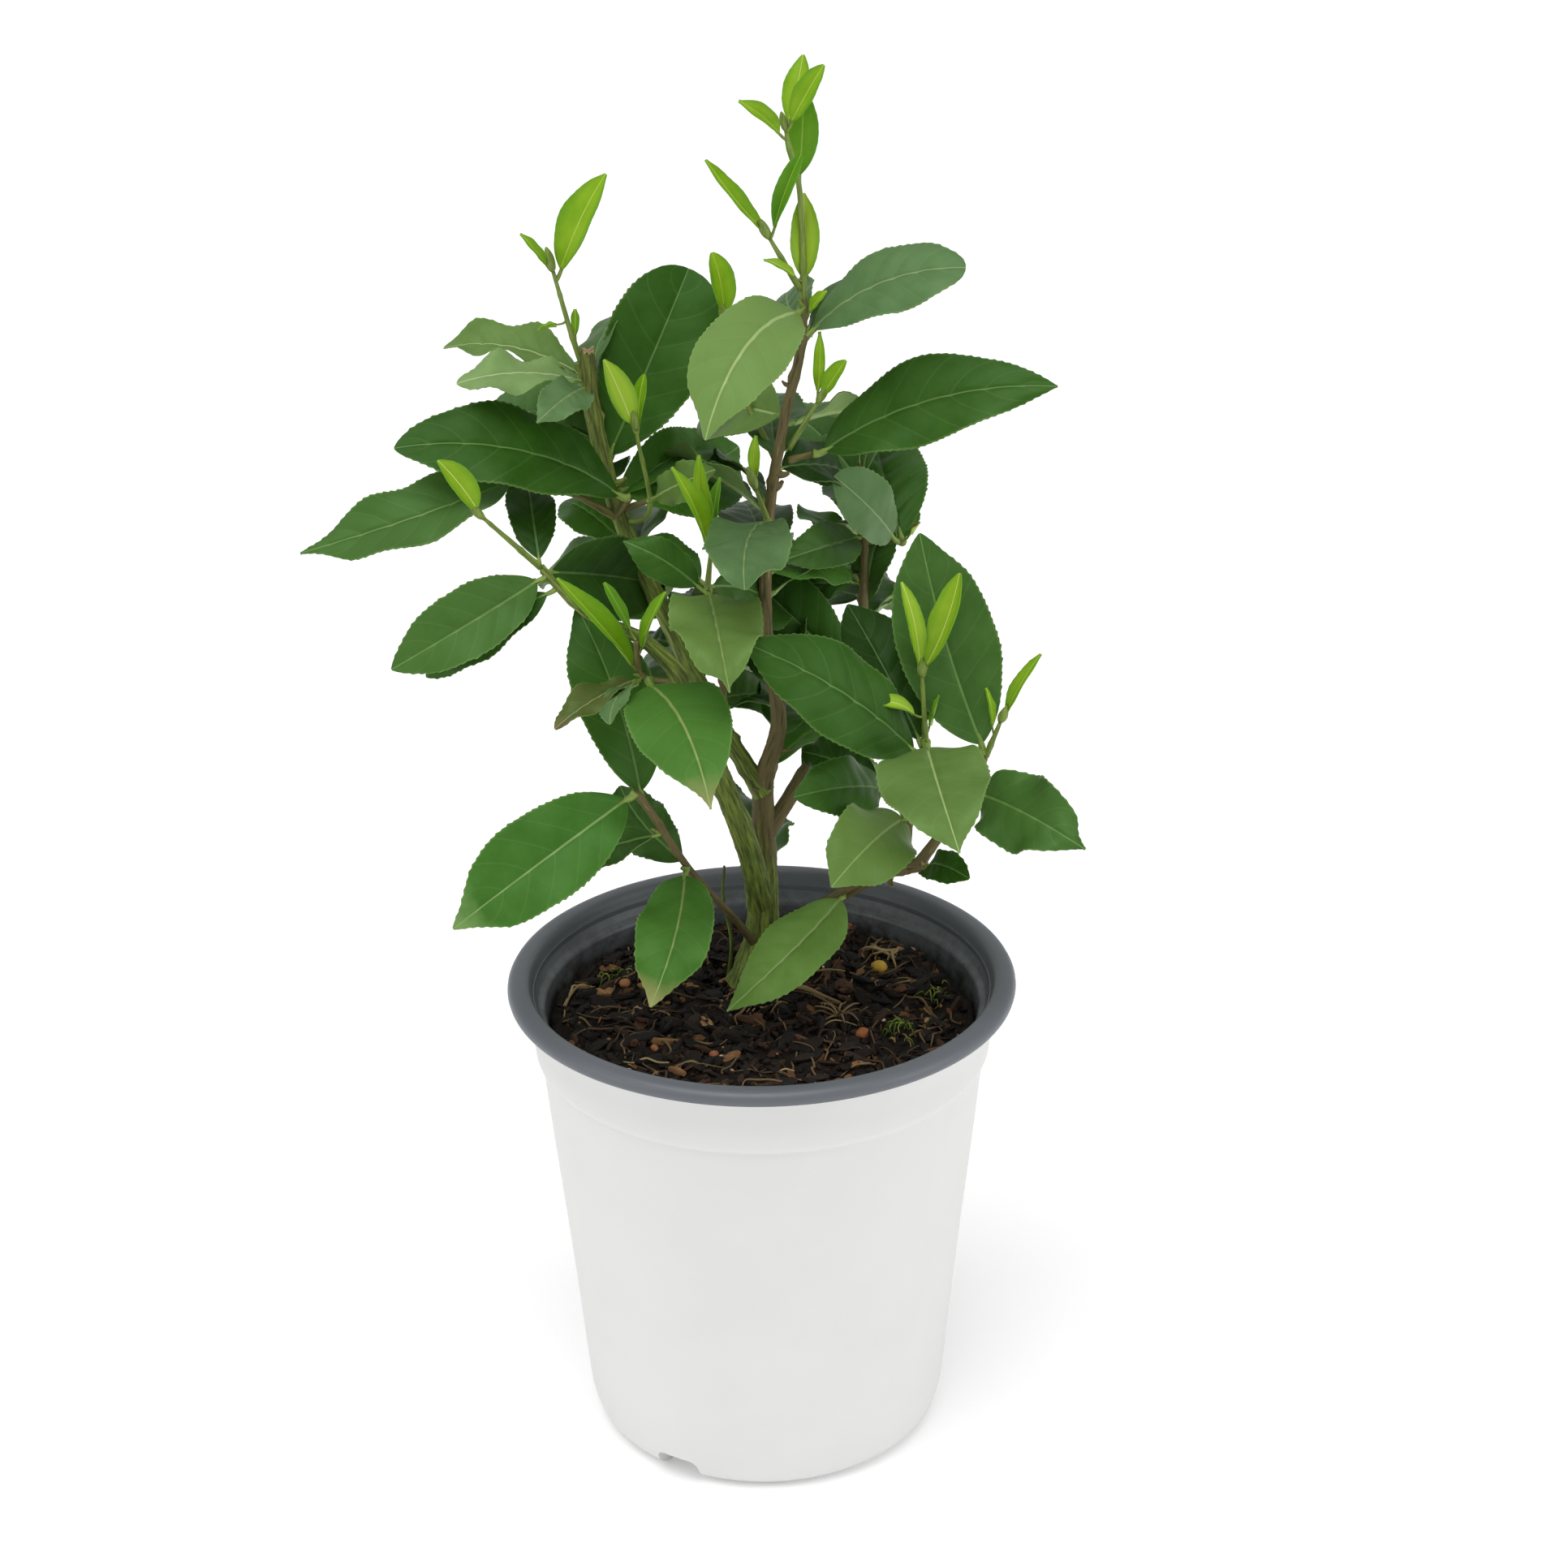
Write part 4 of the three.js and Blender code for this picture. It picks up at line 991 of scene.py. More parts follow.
def soil_litter(pot, seed):
    """All that lies on the soil: bark chips, straws and roots, prills and grit, and three tufts of moss."""
    rng = random.Random(seed)
    flakes = []
    for _ in range(pot.chips):
        big = rng.random() ** 4
        length = 0.9 + 5.5 * big
        place = on_soil(rng)
        if math.hypot(*place) + length / 2 > SOIL_RADIUS - 1:
            place = (place[0] * 0.9, place[1] * 0.9)
        shade = rng.choices(((0.13, 0.08), (0.38, 0.12), (0.76, 0.15)), (68, 24, 8))[0]
        tone = min(1, max(0, rng.gauss(*shade)))
        flakes.append(chip(rng, place, length, length * rng.uniform(0.22, 0.6), rng.uniform(0.4, 1.6), tone))
    chips = joined("bark_chips", flakes, [litter("composted_pine_bark", BARK_SHADES, 0.75)])
    declared(shaded(chips, 35), "bark_mix")

    strands = [straw(rng, on_soil(rng), rng.uniform(0, TURN), rng.uniform(5, 20), rng.uniform(0.15, 0.4),
                     min(1, max(0, rng.gauss(0.4, 0.22)))) for _ in range(pot.fibres)]
    # A pale root that ends in a star of rootlets, right of the middle, and a curl of straw behind it
    strands.append(straw(rng, (2, 9), -0.35, 19, 0.75, 0.62, 0.5, 0.08))
    for k in range(9):
        strands.append(straw(
            rng, (19.5, -2.5), TURN * k / 9, rng.uniform(6, 10), 0.32, rng.uniform(0.35, 0.75), 0.7, 0.2))
    for k in range(6):
        strands.append(straw(
            rng, (35 + k * 0.6, 28 + k), 2.6 + 0.25 * k, rng.uniform(8, 12), 0.45, 0.8, 0.9, 0.3))
    dry = litter("dry_root_and_straw", STRAW_SHADES, 0.7)
    roots = joined("straws_and_roots", [s for s in strands if s], [dry])
    declared(shaded(roots), "bark_mix")

    grains = [
        clod(rng, (30.9, 23.1), 2.5, 0.78), clod(rng, (25.5, -14.3), 1.9, 0.3, 0.9),
        clod(rng, (25.8, -24.5), 1.3, 0.5), clod(rng, (23.4, 50), 1.7, 0.42), clod(rng, (12.8, -43.9), 1.2,
        0.45),
        clod(rng, (-11.9, -25), 1.3, 0.35), clod(rng, (40, 34), 1.3, 0.5), clod(rng, (-36, 12.8), 1.5, 0.4),
        clod(rng, (-27, -21), 1.2, 0.38)]
    for _ in range(70):
        grains.append(clod(rng, on_soil(rng), rng.uniform(0.3, 0.75), rng.choice((0.2, 0.4, 0.55, 0.95))))
    grit = joined("prills_and_grit", grains, [litter("clay_and_perlite", GRAIN_SHADES, 0.5)])
    declared(shaded(grit), "bark_mix")

    tufts = []
    for x, y, count in ((35.7, -12.3, 26), (-40, 20, 10), (44, 8, 9)):
        for k in range(count):
            spot = (x + rng.gauss(0, 2.2), y + rng.gauss(0, 2))
            tufts.append(straw(rng, spot, GOLDEN_ANGLE * k, rng.uniform(2, 3.6), 0.22, rng.random(), 0.9,
                0.6))
    moss = joined("moss_tufts", [t for t in tufts if t], [litter("moss", MOSS_SHADES, 0.8)])
    declared(shaded(moss), "bark_mix")


# The plant


def wrapped(angle):
    """An angle brought to between minus and plus half a turn."""
    return (angle + math.pi) % TURN - math.pi


def limb_skin(rng, stem, knots, flare, taper):
    """A limb's radius function: ridged bark, swellings at leaf scars, a flared foot and a tapered end."""
    shift = Vector((rng.uniform(0, 50), rng.uniform(0, 50), rng.uniform(0, 50)))

    def skin(angle, distance, radius):
        ring = Vector((math.cos(angle), math.sin(angle), 0))
        ridge = 0.09 * noise.noise(ring * 1.6 + Vector((0, 0, distance * 0.05)) + shift)
        rough = 0.075 * noise.noise(ring * radius * 1.1 + Vector((0, 0, distance * 0.35)) + shift)
        fine = 0.05 * noise.noise(ring * radius * 3 + Vector((0, 0, distance * 1.3)) + shift)
        out = radius * (1 + ridge + rough + fine)
        for where, spot, height, spread in knots:
            off = (distance - spot) / spread
            if abs(off) < 2.5:
                round_off = wrapped(angle - where) * radius / spread
                out += height * math.exp(-off * off - 0.45 * round_off * round_off)
        out += radius * flare * math.exp(-distance / (1.6 * radius + 0.5))
        end = (stem.length - distance) / (1.4 * radius)
        if taper and end < 1:
            out *= 0.25 + 0.75 * math.sqrt(max(0, end))
        return out

    return skin


def limb_knots(rng, length, radius):
    """Leaf scars up a limb, by the golden angle."""
    knots = []
    spot = rng.uniform(4, 9)
    angle = rng.uniform(0, TURN)
    while spot < length - 2:
        knots.append((angle % TURN, spot, radius * rng.uniform(0.18, 0.4), rng.uniform(0.8, 1.5)))
        angle += GOLDEN_ANGLE
        spot += rng.uniform(7, 14)
    return knots


def spur(rng, stem, share, angle, length, radius):
    """A dead spur: a short twig or thorn that stands off a limb."""
    centre, tangent, side, thick = stem.at(share)
    out = side * math.cos(angle) + tangent.cross(side) * math.sin(angle)
    tip = centre + out * (thick + length) + tangent * length * 0.4
    middle = centre + out * (thick + length * 0.5) + tangent * length * 0.1
    bent = Stem([centre, middle, tip], [radius * 1.6, radius, radius * 0.55])
    return tube(
        bent, 8, 10, lambda a, distance, r: r * (1 + 0.15 * noise.noise(Vector((a, distance * 1.5, 2)))))


STEMS = {name: Stem(course, radii) for name, (course, radii, kind) in LIMBS.items()}
LIMB_SLOT = {"green": "green_bark"}
THICK_SIDES = 24
THIN_SIDES = 18
RING_SPACING = 0.9
SPLINTERS = 5  # length of a snag's broken end, in millimetres
# Spurs by limb: (share of its length, angle round it, length, radius)
SPURS = {
    "trunk": [(0.34, 0.3, 4.5, 0.55), (0.3, 3.4, 3, 0.5), (0.36, 5.6, 2.5, 0.5), (0.74, 0.2, 3, 0.9),
              (0.76, 5.4, 2.2, 0.8), (0.88, 2.9, 2, 0.5), (0.62, 1.6, 2.4, 0.6)],
    "left_limb": [(0.2, 2.4, 4, 0.6), (0.72, 5.2, 2.6, 0.9), (0.9, 1, 2.2, 0.8)],
    "right_limb": [(0.3, 4.4, 3, 0.5), (0.72, 2, 2, 0.4)],
    "green_stem": [(0.55, 1.8, 2, 0.6)],
    "right_low_bough": [(0.55, 1.2, 2.4, 0.7), (0.82, 4.2, 3, 0.8)],
}


def splintered(bm, end, ahead):
    """Breaks off a limb's end: its last millimetres run up in splinters and sink between them."""
    for v in bm.verts:
        below = (end - v.co).dot(ahead)
        if below < SPLINTERS:
            ragged = noise.noise((v.co - ahead * v.co.dot(ahead)) * 1.1)
            v.co += ahead * (2.6 * ragged - 0.4) * (1 - below / SPLINTERS)


def plant_limbs(plant):
    """The trunk and every bough and twig that has a node of its own."""
    barks = {
        "trunk": tea_bark(
            "brown_tea_bark_greening_low", plant.bark_colour, plant.green_bark_colour, 128, 176),
        "green": tea_bark("green_tea_bark", plant.bark_colour, plant.green_bark_colour, 900, 1000),
        "brown": tea_bark("brown_tea_bark", plant.bark_colour, plant.green_bark_colour, -200, -100),
    }
    barks["cut"] = barks["brown"]
    barks["snag"] = tea_bark("mossy_tea_bark", plant.bark_colour, plant.green_bark_colour, 150, 420)
    wood = cut_wood("dry_pruning_cut")
    for name, (_course, _radii, kind) in LIMBS.items():
        rng = random.Random(f"{plant.seed} {name}")
        stem = STEMS[name]
        sides = THICK_SIDES if name in ("trunk", "green_stem") else THIN_SIDES
        rows = round(stem.length / RING_SPACING)
        knots = limb_knots(rng, stem.length, stem.at(0.5)[3])
        skin = limb_skin(rng, stem, knots, 0.55 if name == "trunk" else 0.3, kind not in ("cut", "snag"))
        body = tube(stem, sides, rows, skin)
        end, ahead = stem.at(1)[:2]
        if kind == "snag":
            splintered(body, end, ahead)
        if kind in ("cut", "snag"):
            for face in body.faces:
                if len(face.verts) > 4 and (face.calc_center_median() - end).length < 1:
                    face.material_index = 1
        spurs = [spur(rng, stem, *row) for row in SPURS.get(name, [])]
        if name == "trunk":
            course = [(-9, 17, 116), (-8, 17, 128), (-10, 18, 140), (-9.5, 18, 149)]
            dead = Stem(course, [0.55, 0.5, 0.45, 0.3])
            spurs.append(tube(dead, 8, 30, lambda a, distance, r: r))
        limb = joined(f"{name}_bark", [body, *spurs], [barks[kind], wood])
        declared(shaded(limb, 60), LIMB_SLOT.get(kind, "bark"), name)


def outline(share, peak, low):
    """A blade's half-width, from 0 to 1, at a share of its length; peak is where it is widest."""
    high = low * (1 - peak) / peak
    return share ** low * (1 - share) ** high / (peak ** low * (1 - peak) ** high)


def spine(droop, bias, rows):
    """Points and slopes of a midrib that arches by an angle, over a chord of one."""
    angles = [droop * (0.5 - (row / rows) ** bias) for row in range(rows + 1)]
    points = [Vector((0, 0))]
    for a, b in zip(angles, angles[1:]):
        middle = (a + b) / 2
        points.append(points[-1] + Vector((math.cos(middle), math.sin(middle))) / rows)
    chord = points[-1]
    tilt = math.atan2(chord.y, chord.x)
    turn = Matrix.Rotation(-tilt, 2)
    return [turn @ p / chord.length for p in points], [a - tilt for a in angles]


def blade(row, start, rng, plant):
    """One leaf's blade, with teeth, midrib, side veins, arch, fold and wave.

    Gives (bmesh, its base, the midrib's direction there, the blade's upward direction).
    """
    flush = row.get("flush", False)
    length, width = row["length"], row["width"]
    heading, rise, roll = (math.radians(row[k]) for k in ("heading", "rise", "roll"))
    along = Vector((math.cos(rise) * math.cos(heading), math.cos(rise) * math.sin(heading), math.sin(rise)))
    level = Vector((0, 0, 1)) - along * along.z
    up = Matrix.Rotation(roll, 3, along) @ level.normalized()
    side = along.cross(up)
    base = start + along * STALK

    half = 4 if flush else 8
    teeth = 0 if flush and length < 15 else max(9, round(length / (2 if flush else 1.75)))
    rows = 20 if teeth == 0 else teeth * (2 if flush else 3)
    slim = 0.78 if flush else 0.74
    droop = math.radians(row.get("droop", rng.uniform(10, 30) if flush else rng.uniform(24, 48)))
    fold = math.radians(row.get("fold", rng.uniform(26, 44) if flush else rng.uniform(5, 15)))
    folds = [fold + math.radians(rng.gauss(0, 6)), fold]
    sway = row.get("sway", rng.gauss(0, 0.03) * length)
    wave = row.get("wave", 0.15 if flush else rng.uniform(0.5, 1.5))
    relief = row.get("relief", 0 if flush else rng.uniform(0.14, 0.28))
    depth = 0.12 if flush else row.get("depth", plant.tooth_depth) * rng.uniform(0.85, 1.15)
    rib_width = row.get("rib", 0.14 if flush else 0.22) * min(1, width / 12)
    peak = row.get("peak", rng.uniform(0.42, 0.54))
    curl = rng.uniform(-0.05, 0.14) if not flush else -0.1
    twist = rng.gauss(0, 0.16)
    bias = rng.uniform(0.9, 1.5)
    phases = [rng.uniform(0, TURN), rng.uniform(0, TURN)]
    cycles = rng.uniform(1.6, 2.8)
    tooth_size = [[rng.uniform(0.45, 1.3) for _ in range(teeth + 1)] for _ in range(2)]
    lopsided = rng.uniform(-0.05, 0.05)
    drip = row.get("drip", 0 if flush else 0.4 + 6 * lopsided)
    points, slopes = spine(droop, bias, rows)
    across = [None] * (rows + 1)
    for j in range(rows + 1):
        share = j / rows
        slope = math.atan(sway * 4 * (1 - 2 * share) / length)
        tangent = along * math.cos(slopes[j]) + up * math.sin(slopes[j])
        normal = up * math.cos(slopes[j]) - along * math.sin(slopes[j])
        out = side * math.cos(slope) - tangent * math.sin(slope)
        centre = base + (along * points[j].x + up * points[j].y) * length + side * (
            sway * 4 * share * (1 - share))
        across[j] = (share, centre, out, normal)
    uvs = {}

    def place(column, j):
        share, centre, out, normal = across[j]
        k = column - half
        which = 0 if k < 0 else 1
        full = width / 2 * outline(min(max(share, 0.001), 0.999), peak, slim) * (
            1 + lopsided * (1 - 2 * which))
        full *= 1 + 0.05 * noise.noise(Vector((share * 4.5, phases[which] * 9, 0)))
        late = max(0, (share - 0.76) / 0.24)
        full = max(0.28, full * (1 - 1.7 * drip * late * late * (1 - late) ** 0.5))
        rib = min((rib_width * (1 - share) ** 0.7 + 0.1), full * 0.4)
        step = (abs(k) - 1) / (half - 1)
        reach = 0 if k == 0 else rib + (full - rib) * step
        u = min(1, reach / full)
        if abs(k) == half and teeth:
            saw = (share * teeth) % 1 if j < rows else 0
            size = tooth_size[which][min(int(share * teeth), teeth)]
            fade = min(1, max(0, (share - 0.1) / 0.12)) * min(1, max(0, (0.985 - share) / 0.05))
            reach += depth * size * saw ** 1.2 * fade * 1.35
        uvs[column, j] = (0.5 + 0.5 * (u if k > 0 else -u), share)
        sign = 1 if k > 0 else -1
        bend = folds[which] * (1 - 0.35 * share)
        x = sign * reach * math.cos(bend)
        z = reach * math.sin(bend)
        z -= curl * full * u ** 3.5
        z += wave * u * u * math.sin(cycles * TURN * share + phases[which]) * min(1, 6 * share * (1 - share))
        if relief and abs(k) > 0:
            phase = VEINS * share - VEIN_SWEEP * u ** VEIN_BEND
            near = abs(phase - round(phase))
            room = min(1, 5 * share * (1 - share)) * (1 - u) ** 0.5
            z += relief * room * (math.sin(math.pi * near) - math.exp(-(near / 0.07) ** 2) * 0.5)
        if k == 0 and not flush:
            z -= 0.16 * (1 - share)
        turn = twist * (share - 0.3)
        return centre + out * (x * math.cos(turn) - z * math.sin(turn)) + normal * (
            x * math.sin(turn) + z * math.cos(turn))

    bm, cells = rounded_grid(2 * half, rows, place, leafy=True)
    uv = bm.loops.layers.uv["leaf"]
    weights = bm.verts.layers.deform.verify()
    toned(bm, row.get("tone", rng.gauss(0.5, 0.17)))
    thin = plant.blade_thickness / plant.rib_thickness
    for v, (column, j) in cells.items():
        k = abs(column - half)
        fade = 1 - 0.6 * j / rows
        v[weights][0] = {0: max(thin, fade), 1: max(thin, 0.55 * fade)}.get(k, thin)
    tints = row["tints"]
    for face in bm.faces:
        columns = [cells[v][0] for v in face.verts]
        on_rib = half - 1 <= min(columns) and max(columns) <= half + 1
        face.material_index = tints.index(row["tint"]) + (len(tints) if on_rib else 0)
        face.smooth = True
        for loop in face.loops:
            loop[uv].uv = uvs[cells[loop.vert]]
    for edge in bm.edges:
        if edge.is_boundary:
            edge.smooth = False
    tangent = along * math.cos(slopes[0]) + up * math.sin(slopes[0])
    return bm, base, tangent, up


def stalk(start, base, tangent, up, thick):
    """A leaf's stalk, from the middle of its stem to under the foot of its midrib."""
    under = base - up * 0.25
    inner = start.lerp(under, 0.45) - tangent * 0.2 + Vector((0, 0, -0.3))
    course = [start, inner, under, under + tangent * thick * 2.6]
    stem = Stem(course, [thick * 1.15, thick * 0.9, thick * 0.75, thick * 0.3])
    return tube(stem, 8, 12, lambda a, distance, r: r)


def bud(tip, pointing, length, tone, rng):
    """A tea bud: a slim spindle with its outer scale lapped round it."""
    bm = bmesh.new()
    bmesh.ops.create_uvsphere(bm, u_segments=10, v_segments=10, radius=1)
    for v in bm.verts:
        share = (v.co.z + 1) / 2
        slim = 0.26 * (1 - 0.55 * share)
        angle = math.atan2(v.co.y, v.co.x)
        lap = 1 + 0.12 * math.cos(angle * 2 + share * 4)
        v.co = Vector((v.co.x * slim * lap, v.co.y * slim * lap, share)) * length
    turn = pointing.to_track_quat("Z", "Y").to_matrix()
    bmesh.ops.rotate(bm, cent=(0, 0, 0), matrix=turn, verts=bm.verts)
    bmesh.ops.translate(bm, vec=tip, verts=bm.verts)
    grain = bm.verts.layers.float_vector.new("grain")
    for v in bm.verts:
        v[grain] = v.co
    for face in bm.faces:
        face.smooth = True
        face.material_index = 1
    return toned(bm, tone)


def twig_skin(shift):
    """A young twig's skin: nearly smooth, and swollen a little at its nodes."""
    return lambda a, distance, r: r * (
        1 + 0.1 * noise.noise(Vector((math.cos(a), math.sin(a), distance * 0.3 + shift)))
        + 0.22 * max(0, math.sin(distance * 0.55 + shift)) ** 12)


def grown(name, sprays, plant, finishes):
    """One mass of foliage: its leaves, its young leaves and its twigs, each kind one piece."""
    rng = random.Random(f"{plant.seed} {name}")
    kinds = {"leaves": [], "young_leaves": [], "twigs": []}
    used = {"leaves": [], "young_leaves": []}
    for row in [row for _bearer, leaves in sprays for row in leaves]:
        kind = used["young_leaves" if row.get("flush") else "leaves"]
        if row["tint"] not in kind:
            kind.append(row["tint"])
    for bearer, leaves in sprays:
        if isinstance(bearer, str):
            stem = STEMS[bearer]
        else:
            flushing = sum(row.get("flush", False) for row in leaves) * 2 > len(leaves)
            thick = SHOOT_RADIUS if flushing else TWIG_RADIUS
            stem = Stem(bearer, [thick, thick * 0.8, thick * 0.55 if flushing else thick * 0.75])
            shoot = tube(stem, 10, max(8, round(stem.length / 1.2)), twig_skin(rng.uniform(0, 9)))
            for face in shoot.faces:
                face.material_index = 1 if flushing else 0
            kinds["twigs"].append(shoot)
            if flushing:
                tip, ahead = stem.at(1)[:2]
                kinds["twigs"].append(bud(tip, ahead, rng.uniform(4.5, 6.5), 0.5, rng))
        for row in leaves:
            start, ahead, _side, thick = stem.at(row["at"])
            flush = row.get("flush", False)
            tints = used["young_leaves" if flush else "leaves"]
            made, base, tangent, up = blade({**row, "tints": tints}, start, rng, plant)
            kinds["young_leaves" if flush else "leaves"].append(made)
            petiole = stalk(start, base, tangent, up, 0.035 * row["width"] + 0.25)
            for face in petiole.faces:
                face.material_index = 1 if flush else 2
            kinds["twigs"].append(petiole)
            if not flush and rng.random() < BUDDING:
                # A bud sits in the leaf's axil, pressed to the stem above it
                out = (base - start).normalized()
                lean = (out + ahead * 1.4).normalized()
                kinds["twigs"].append(bud(start + out * thick * 0.8, lean, rng.uniform(1.8, 3.2), 0.4, rng))
    replaced = [name]
    for kind, bodies in kinds.items():
        if not bodies:
            continue
        if kind == "twigs":
            made = joined(f"{name}_{kind}", bodies, finishes[kind])
        else:
            tops, ribs, under, under_rib = finishes[kind]
            tints = used[kind]
            upper = [tops[tint] for tint in tints] + [ribs[tint] for tint in tints]
            lower = [under] * len(tints) + [under_rib] * len(tints)
            made = joined(f"{name}_{kind}", bodies, upper + lower, ("thick",))
            body = made.modifiers.new("blade_thickness", "SOLIDIFY")
            body.thickness = plant.rib_thickness
            body.offset = -1
            body.vertex_group = "thick"
            body.thickness_vertex_group = 0
            body.material_offset = len(upper)
            body.material_offset_rim = 0
        declared(made, "green_bark" if kind == "twigs" else "leaves", *replaced)
        replaced = []


def filling(name, seed):
    """Leaves that the seed adds to a mass at the plant's back.

    They are spaced evenly up their limb, and turned by the golden angle within the back's span of headings.
    """
    if name not in FILL:
        return []
    limb, count, low, high = FILL[name]
    rng = random.Random(f"{seed} {name} filling")
    leaves = []
    for i in range(count):
        swing = (i * GOLDEN_ANGLE / TURN) % 1
        length = rng.uniform(29, 41)
        leaves.append(leaf(
            low + (high - low) * (i + 0.5) / count, 52 + 84 * swing + rng.gauss(0, 5), rng.uniform(-34, 16),
            length, length * rng.uniform(0.4, 0.5), rng.uniform(-45, 45),
            rng.choice(("dark", "deep", "mid", "bright")), peak=rng.uniform(0.45, 0.58)))
    return [(limb, leaves)]


def leaf_finishes():
    """The materials of each kind of piece in a mass: for leaves, by tint, of the blade and midrib from above,
    and then of the underside and its midrib."""
    made = {}
    for kind, tints, roughness, vein, flush in (
            ("leaves", TINTS, 0.42, 0.055, False), ("young_leaves", YOUNG_TINTS, 0.4, 0.04, True)):
        age = "new" if flush else "grown"
        tops = {name: leaf_blade(f"{age}_tea_leaf_{name}", *colours[:3], roughness, vein, flush)
                for name, colours in tints.items()}
        ribs = {name: stalk_skin(f"{age}_midrib_{name}", colours[3], colours[3], 0.45)
                for name, colours in tints.items()}
        made[kind] = (tops, ribs)
    under = leaf_blade("tea_leaf_underside", *UNDER, None, 0.6, 0.3)
    new_under = leaf_blade("new_tea_leaf_underside", "#86a834", "#98b84c", None, 0.5, 0.15, True)
    made["leaves"] += (under, stalk_skin("midrib_below", "#8ba45c", "#9db470", 0.5))
    made["young_leaves"] += (new_under, stalk_skin("new_midrib_below", "#9ab846", "#adc65c", 0.5))
    made["twigs"] = [stalk_skin("brown_green_twig", "#4d4a22", "#77703e", 0.6),
                     stalk_skin("green_shoot", "#5c6f2a", "#80963e"),
                     stalk_skin("leaf_stalk", "#66802f", "#88a04c")]
    return made


# The stage

# The camera's place and lens, in millimetres, and its turn: a separate fitting program worked them out
CAMERA_TARGET = (6.15, 0, 179.75)
CAMERA_DISTANCE = 727.6
CAMERA_PITCH = math.radians(23.45)
CAMERA_ROLL = math.radians(-0.519)
CAMERA_LENS = 67.08
FLOOR_RADIUS = 6000
# How strongly the floor glows: painted light from below
FLOOR_GLOW = 0.12
SKY_STRENGTH = 0.5
SUN_STRENGTH = 1.62
SUN_SPREAD = math.radians(48)
SUN_WAY = (0.12, 0.24, -1)


def area_light(name, place, aim, size, power):
    """A large soft box that faces a point."""
    data = bpy.data.lights.new(name, "AREA")
    data.shape = "DISK"
    data.size = size
    data.energy = power
    lamp = bpy.data.objects.new(name, data)
    lamp.location = place
    lamp.rotation_euler = (Vector(aim) - Vector(place)).to_track_quat("-Z", "Y").to_euler()
    bpy.context.scene.collection.objects.link(lamp)


def studio():
    """The floor, the light and the camera."""
    bm = bmesh.new()
    bmesh.ops.create_circle(bm, cap_ends=True, segments=96, radius=FLOOR_RADIUS)
    mesh_object("studio_floor", bm, [pale_floor("glowing_studio_board", "#fafafa")])
    scene = bpy.context.scene
    world = bpy.data.worlds.new("soft_daylight")
    world.use_nodes = True
    world.node_tree.nodes["Background"].inputs["Color"].default_value = linear("#ffffff")
    world.node_tree.nodes["Background"].inputs["Strength"].default_value = SKY_STRENGTH
    scene.world = world
    scene.view_settings.view_transform = "Standard"
    centre = [c * MM for c in CAMERA_TARGET]
    sun = bpy.data.lights.new("open_sky", "SUN")
    sun.energy = SUN_STRENGTH
    sun.angle = SUN_SPREAD
    sky = bpy.data.objects.new("open_sky", sun)
    sky.rotation_euler = Vector(SUN_WAY).to_track_quat("-Z", "Y").to_euler()
    scene.collection.objects.link(sky)
    area_light("left_fill", (-1.1, -0.5, 0.6), centre, 0.8, 2.2)
    area_light("right_fill", (1.1, -0.4, 0.6), centre, 0.8, 3.4)
    data = bpy.data.cameras.new("camera")
    data.lens = CAMERA_LENS
    data.sensor_width = 36
    data.clip_start = 0.05
    data.clip_end = 50
    camera = bpy.data.objects.new("camera", data)
    back = Vector((0, -math.cos(CAMERA_PITCH), math.sin(CAMERA_PITCH)))
    place = Vector(CAMERA_TARGET) + CAMERA_DISTANCE * back
    turn = Matrix.Rotation(math.pi / 2 - CAMERA_PITCH, 4, "X") @ Matrix.Rotation(CAMERA_ROLL, 4, "Z")
    camera.matrix_world = Matrix.Translation(place * MM) @ turn
    scene.collection.objects.link(camera)
    scene.camera = camera


# The add-on


class TEABUSH_OT_pot(bpy.types.Operator):
    """Turns the white pot shell and its grey liner"""

    bl_idname = "tea_bush.pot"
    bl_label = "Pot and Liner"

    def execute(self, context):
        """Makes the shell and the liner."""
        pot_shell(context.scene.tea_bush_pot)
        pot_liner(context.scene.tea_bush_pot)
        return {"FINISHED"}


class TEABUSH_OT_soil(bpy.types.Operator):
    """Fills the pot with soil and scatters bark, roots and grit on it"""

    bl_idname = "tea_bush.soil"
    bl_label = "Soil and Litter"

    def execute(self, context):
        """Makes the soil and what lies on it."""
        soil_body(context.scene.tea_bush_pot)
        soil_litter(context.scene.tea_bush_pot, context.scene.tea_bush_plant.seed)
        return {"FINISHED"}


class TEABUSH_OT_limbs(bpy.types.Operator):
    """Makes the trunk and its boughs with their bark"""

    bl_idname = "tea_bush.limbs"
    bl_label = "Trunk and Boughs"

    def execute(self, context):
        """Makes the limbs."""
        plant_limbs(context.scene.tea_bush_plant)
        return {"FINISHED"}


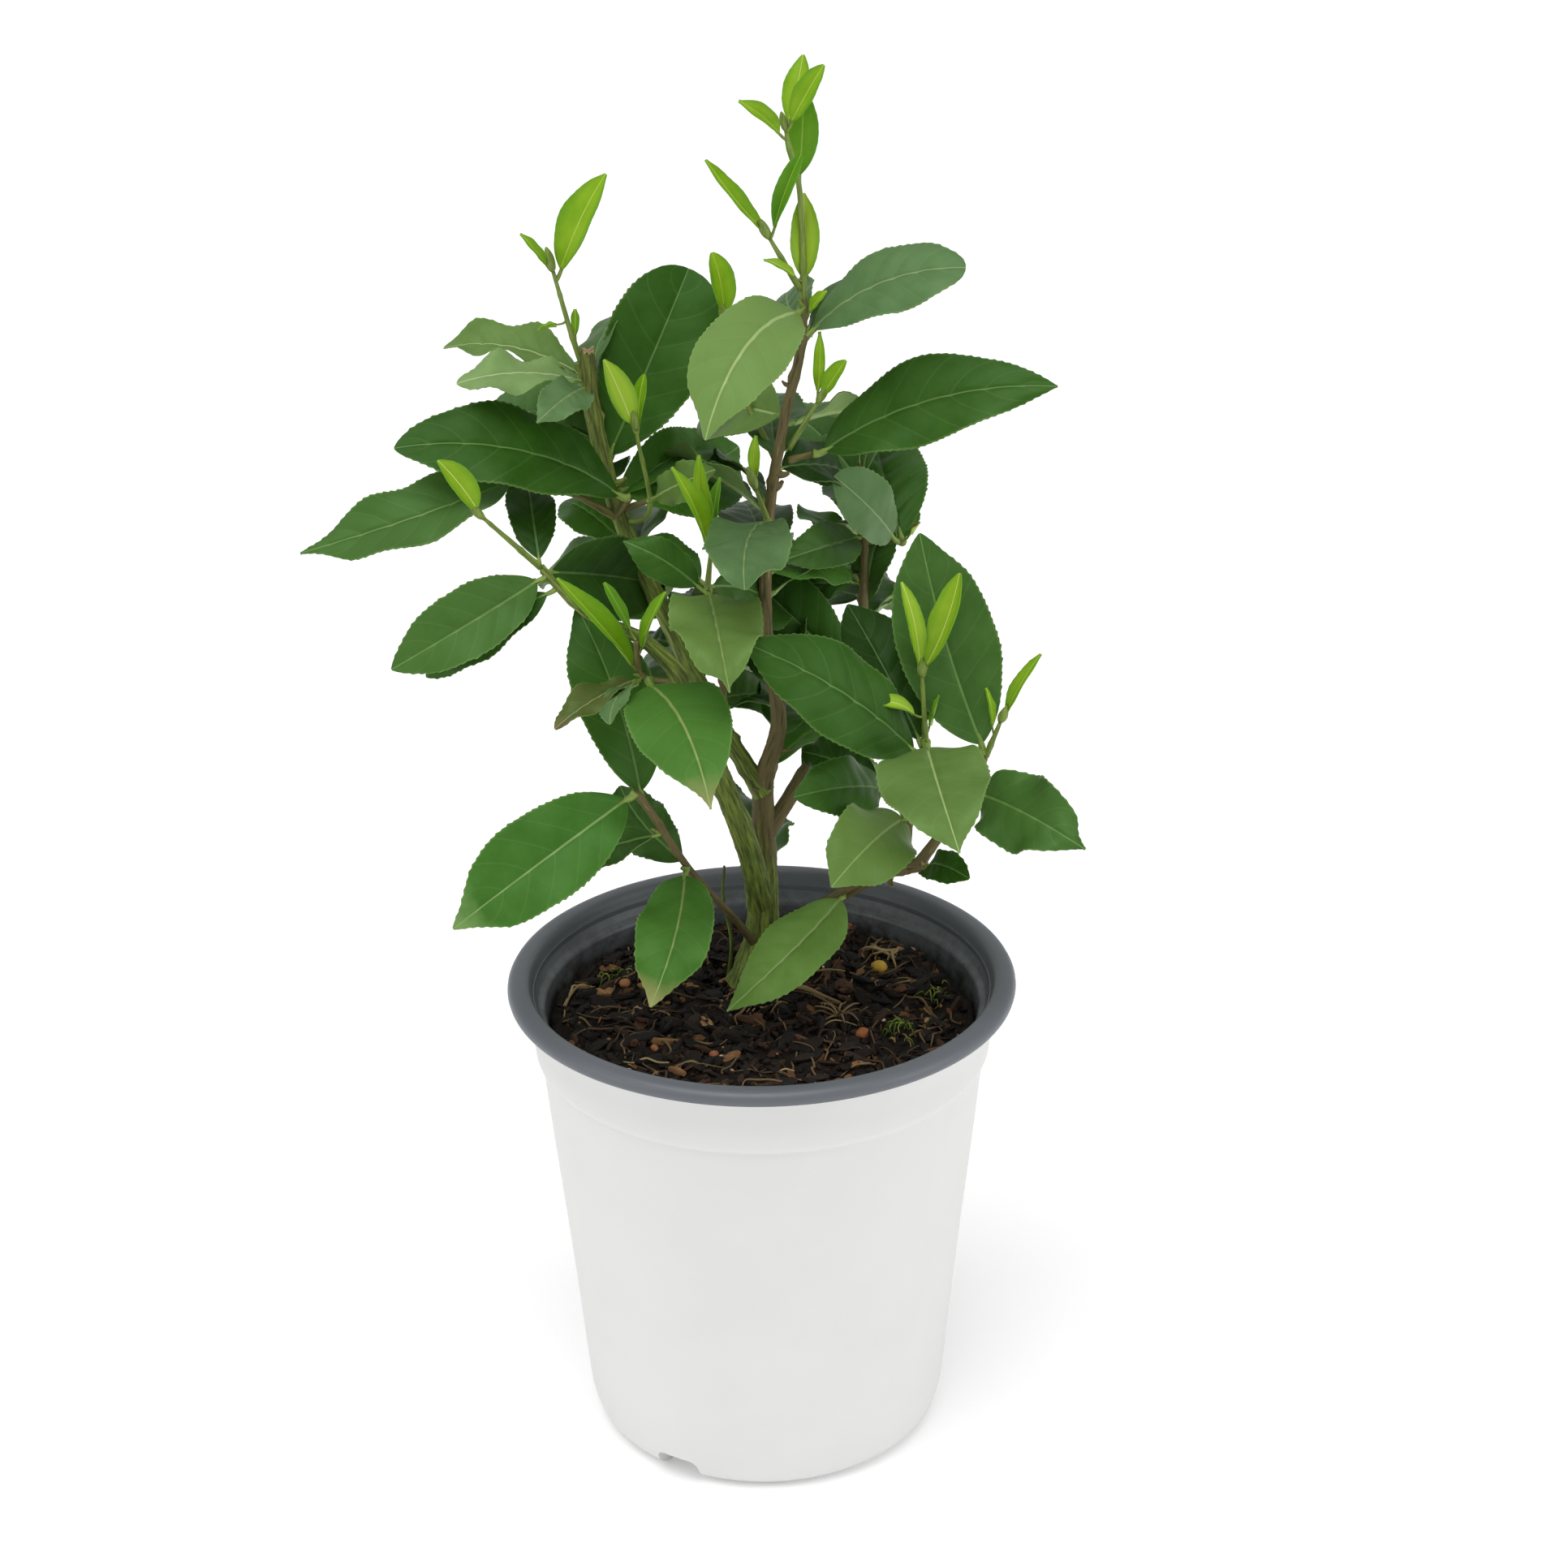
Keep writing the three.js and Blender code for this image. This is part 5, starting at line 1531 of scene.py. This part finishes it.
class TEABUSH_OT_foliage(bpy.types.Operator):
    """Sets the listed leaves and shoots on the limbs, and adds seeded leaves at the back"""

    bl_idname = "tea_bush.foliage"
    bl_label = "Leaves and Shoots"

    def execute(self, context):
        """Makes every mass of foliage."""
        plant = context.scene.tea_bush_plant
        finishes = leaf_finishes()
        for name, sprays in MASSES.items():
            grown(name, sprays + filling(name, plant.seed), plant, finishes)
        return {"FINISHED"}


class TEABUSH_OT_stage(bpy.types.Operator):
    """Lays the floor and sets the lights and the camera"""

    bl_idname = "tea_bush.stage"
    bl_label = "Floor, Light and Camera"

    def execute(self, context):
        """Makes the stage."""
        studio()
        return {"FINISHED"}


OPERATORS = (TEABUSH_OT_stage, TEABUSH_OT_pot, TEABUSH_OT_soil, TEABUSH_OT_limbs, TEABUSH_OT_foliage)


class TEABUSH_PT_sidebar(bpy.types.Panel):
    """The operators and their settings, in the sidebar"""

    bl_label = "Tea Bush"
    bl_idname = "TEABUSH_PT_sidebar"
    bl_space_type = "VIEW_3D"
    bl_region_type = "UI"
    bl_category = "Tea Bush"

    def draw(self, context):
        """Lists the settings and the operators."""
        for settings in (context.scene.tea_bush_pot, context.scene.tea_bush_plant):
            for name in settings.__annotations__:
                self.layout.prop(settings, name)
        for operator in OPERATORS:
            self.layout.operator(operator.bl_idname)


CLASSES = (TeaBushPot, TeaBushPlant, *OPERATORS, TEABUSH_PT_sidebar)


def register():
    """Registers the classes and hangs their settings on the scene."""
    for each in CLASSES:
        bpy.utils.register_class(each)
    bpy.types.Scene.tea_bush_pot = bpy.props.PointerProperty(type=TeaBushPot)
    bpy.types.Scene.tea_bush_plant = bpy.props.PointerProperty(type=TeaBushPlant)


def unregister():
    """Takes back what register did."""
    del bpy.types.Scene.tea_bush_plant
    del bpy.types.Scene.tea_bush_pot
    for each in reversed(CLASSES):
        bpy.utils.unregister_class(each)


def main():
    """Makes the whole scene."""
    register()
    bpy.ops.tea_bush.stage()
    bpy.ops.tea_bush.pot()
    bpy.ops.tea_bush.soil()
    bpy.ops.tea_bush.limbs()
    bpy.ops.tea_bush.foliage()
    bpy.context.view_layer.update()


if __name__ == "__main__":
    main()
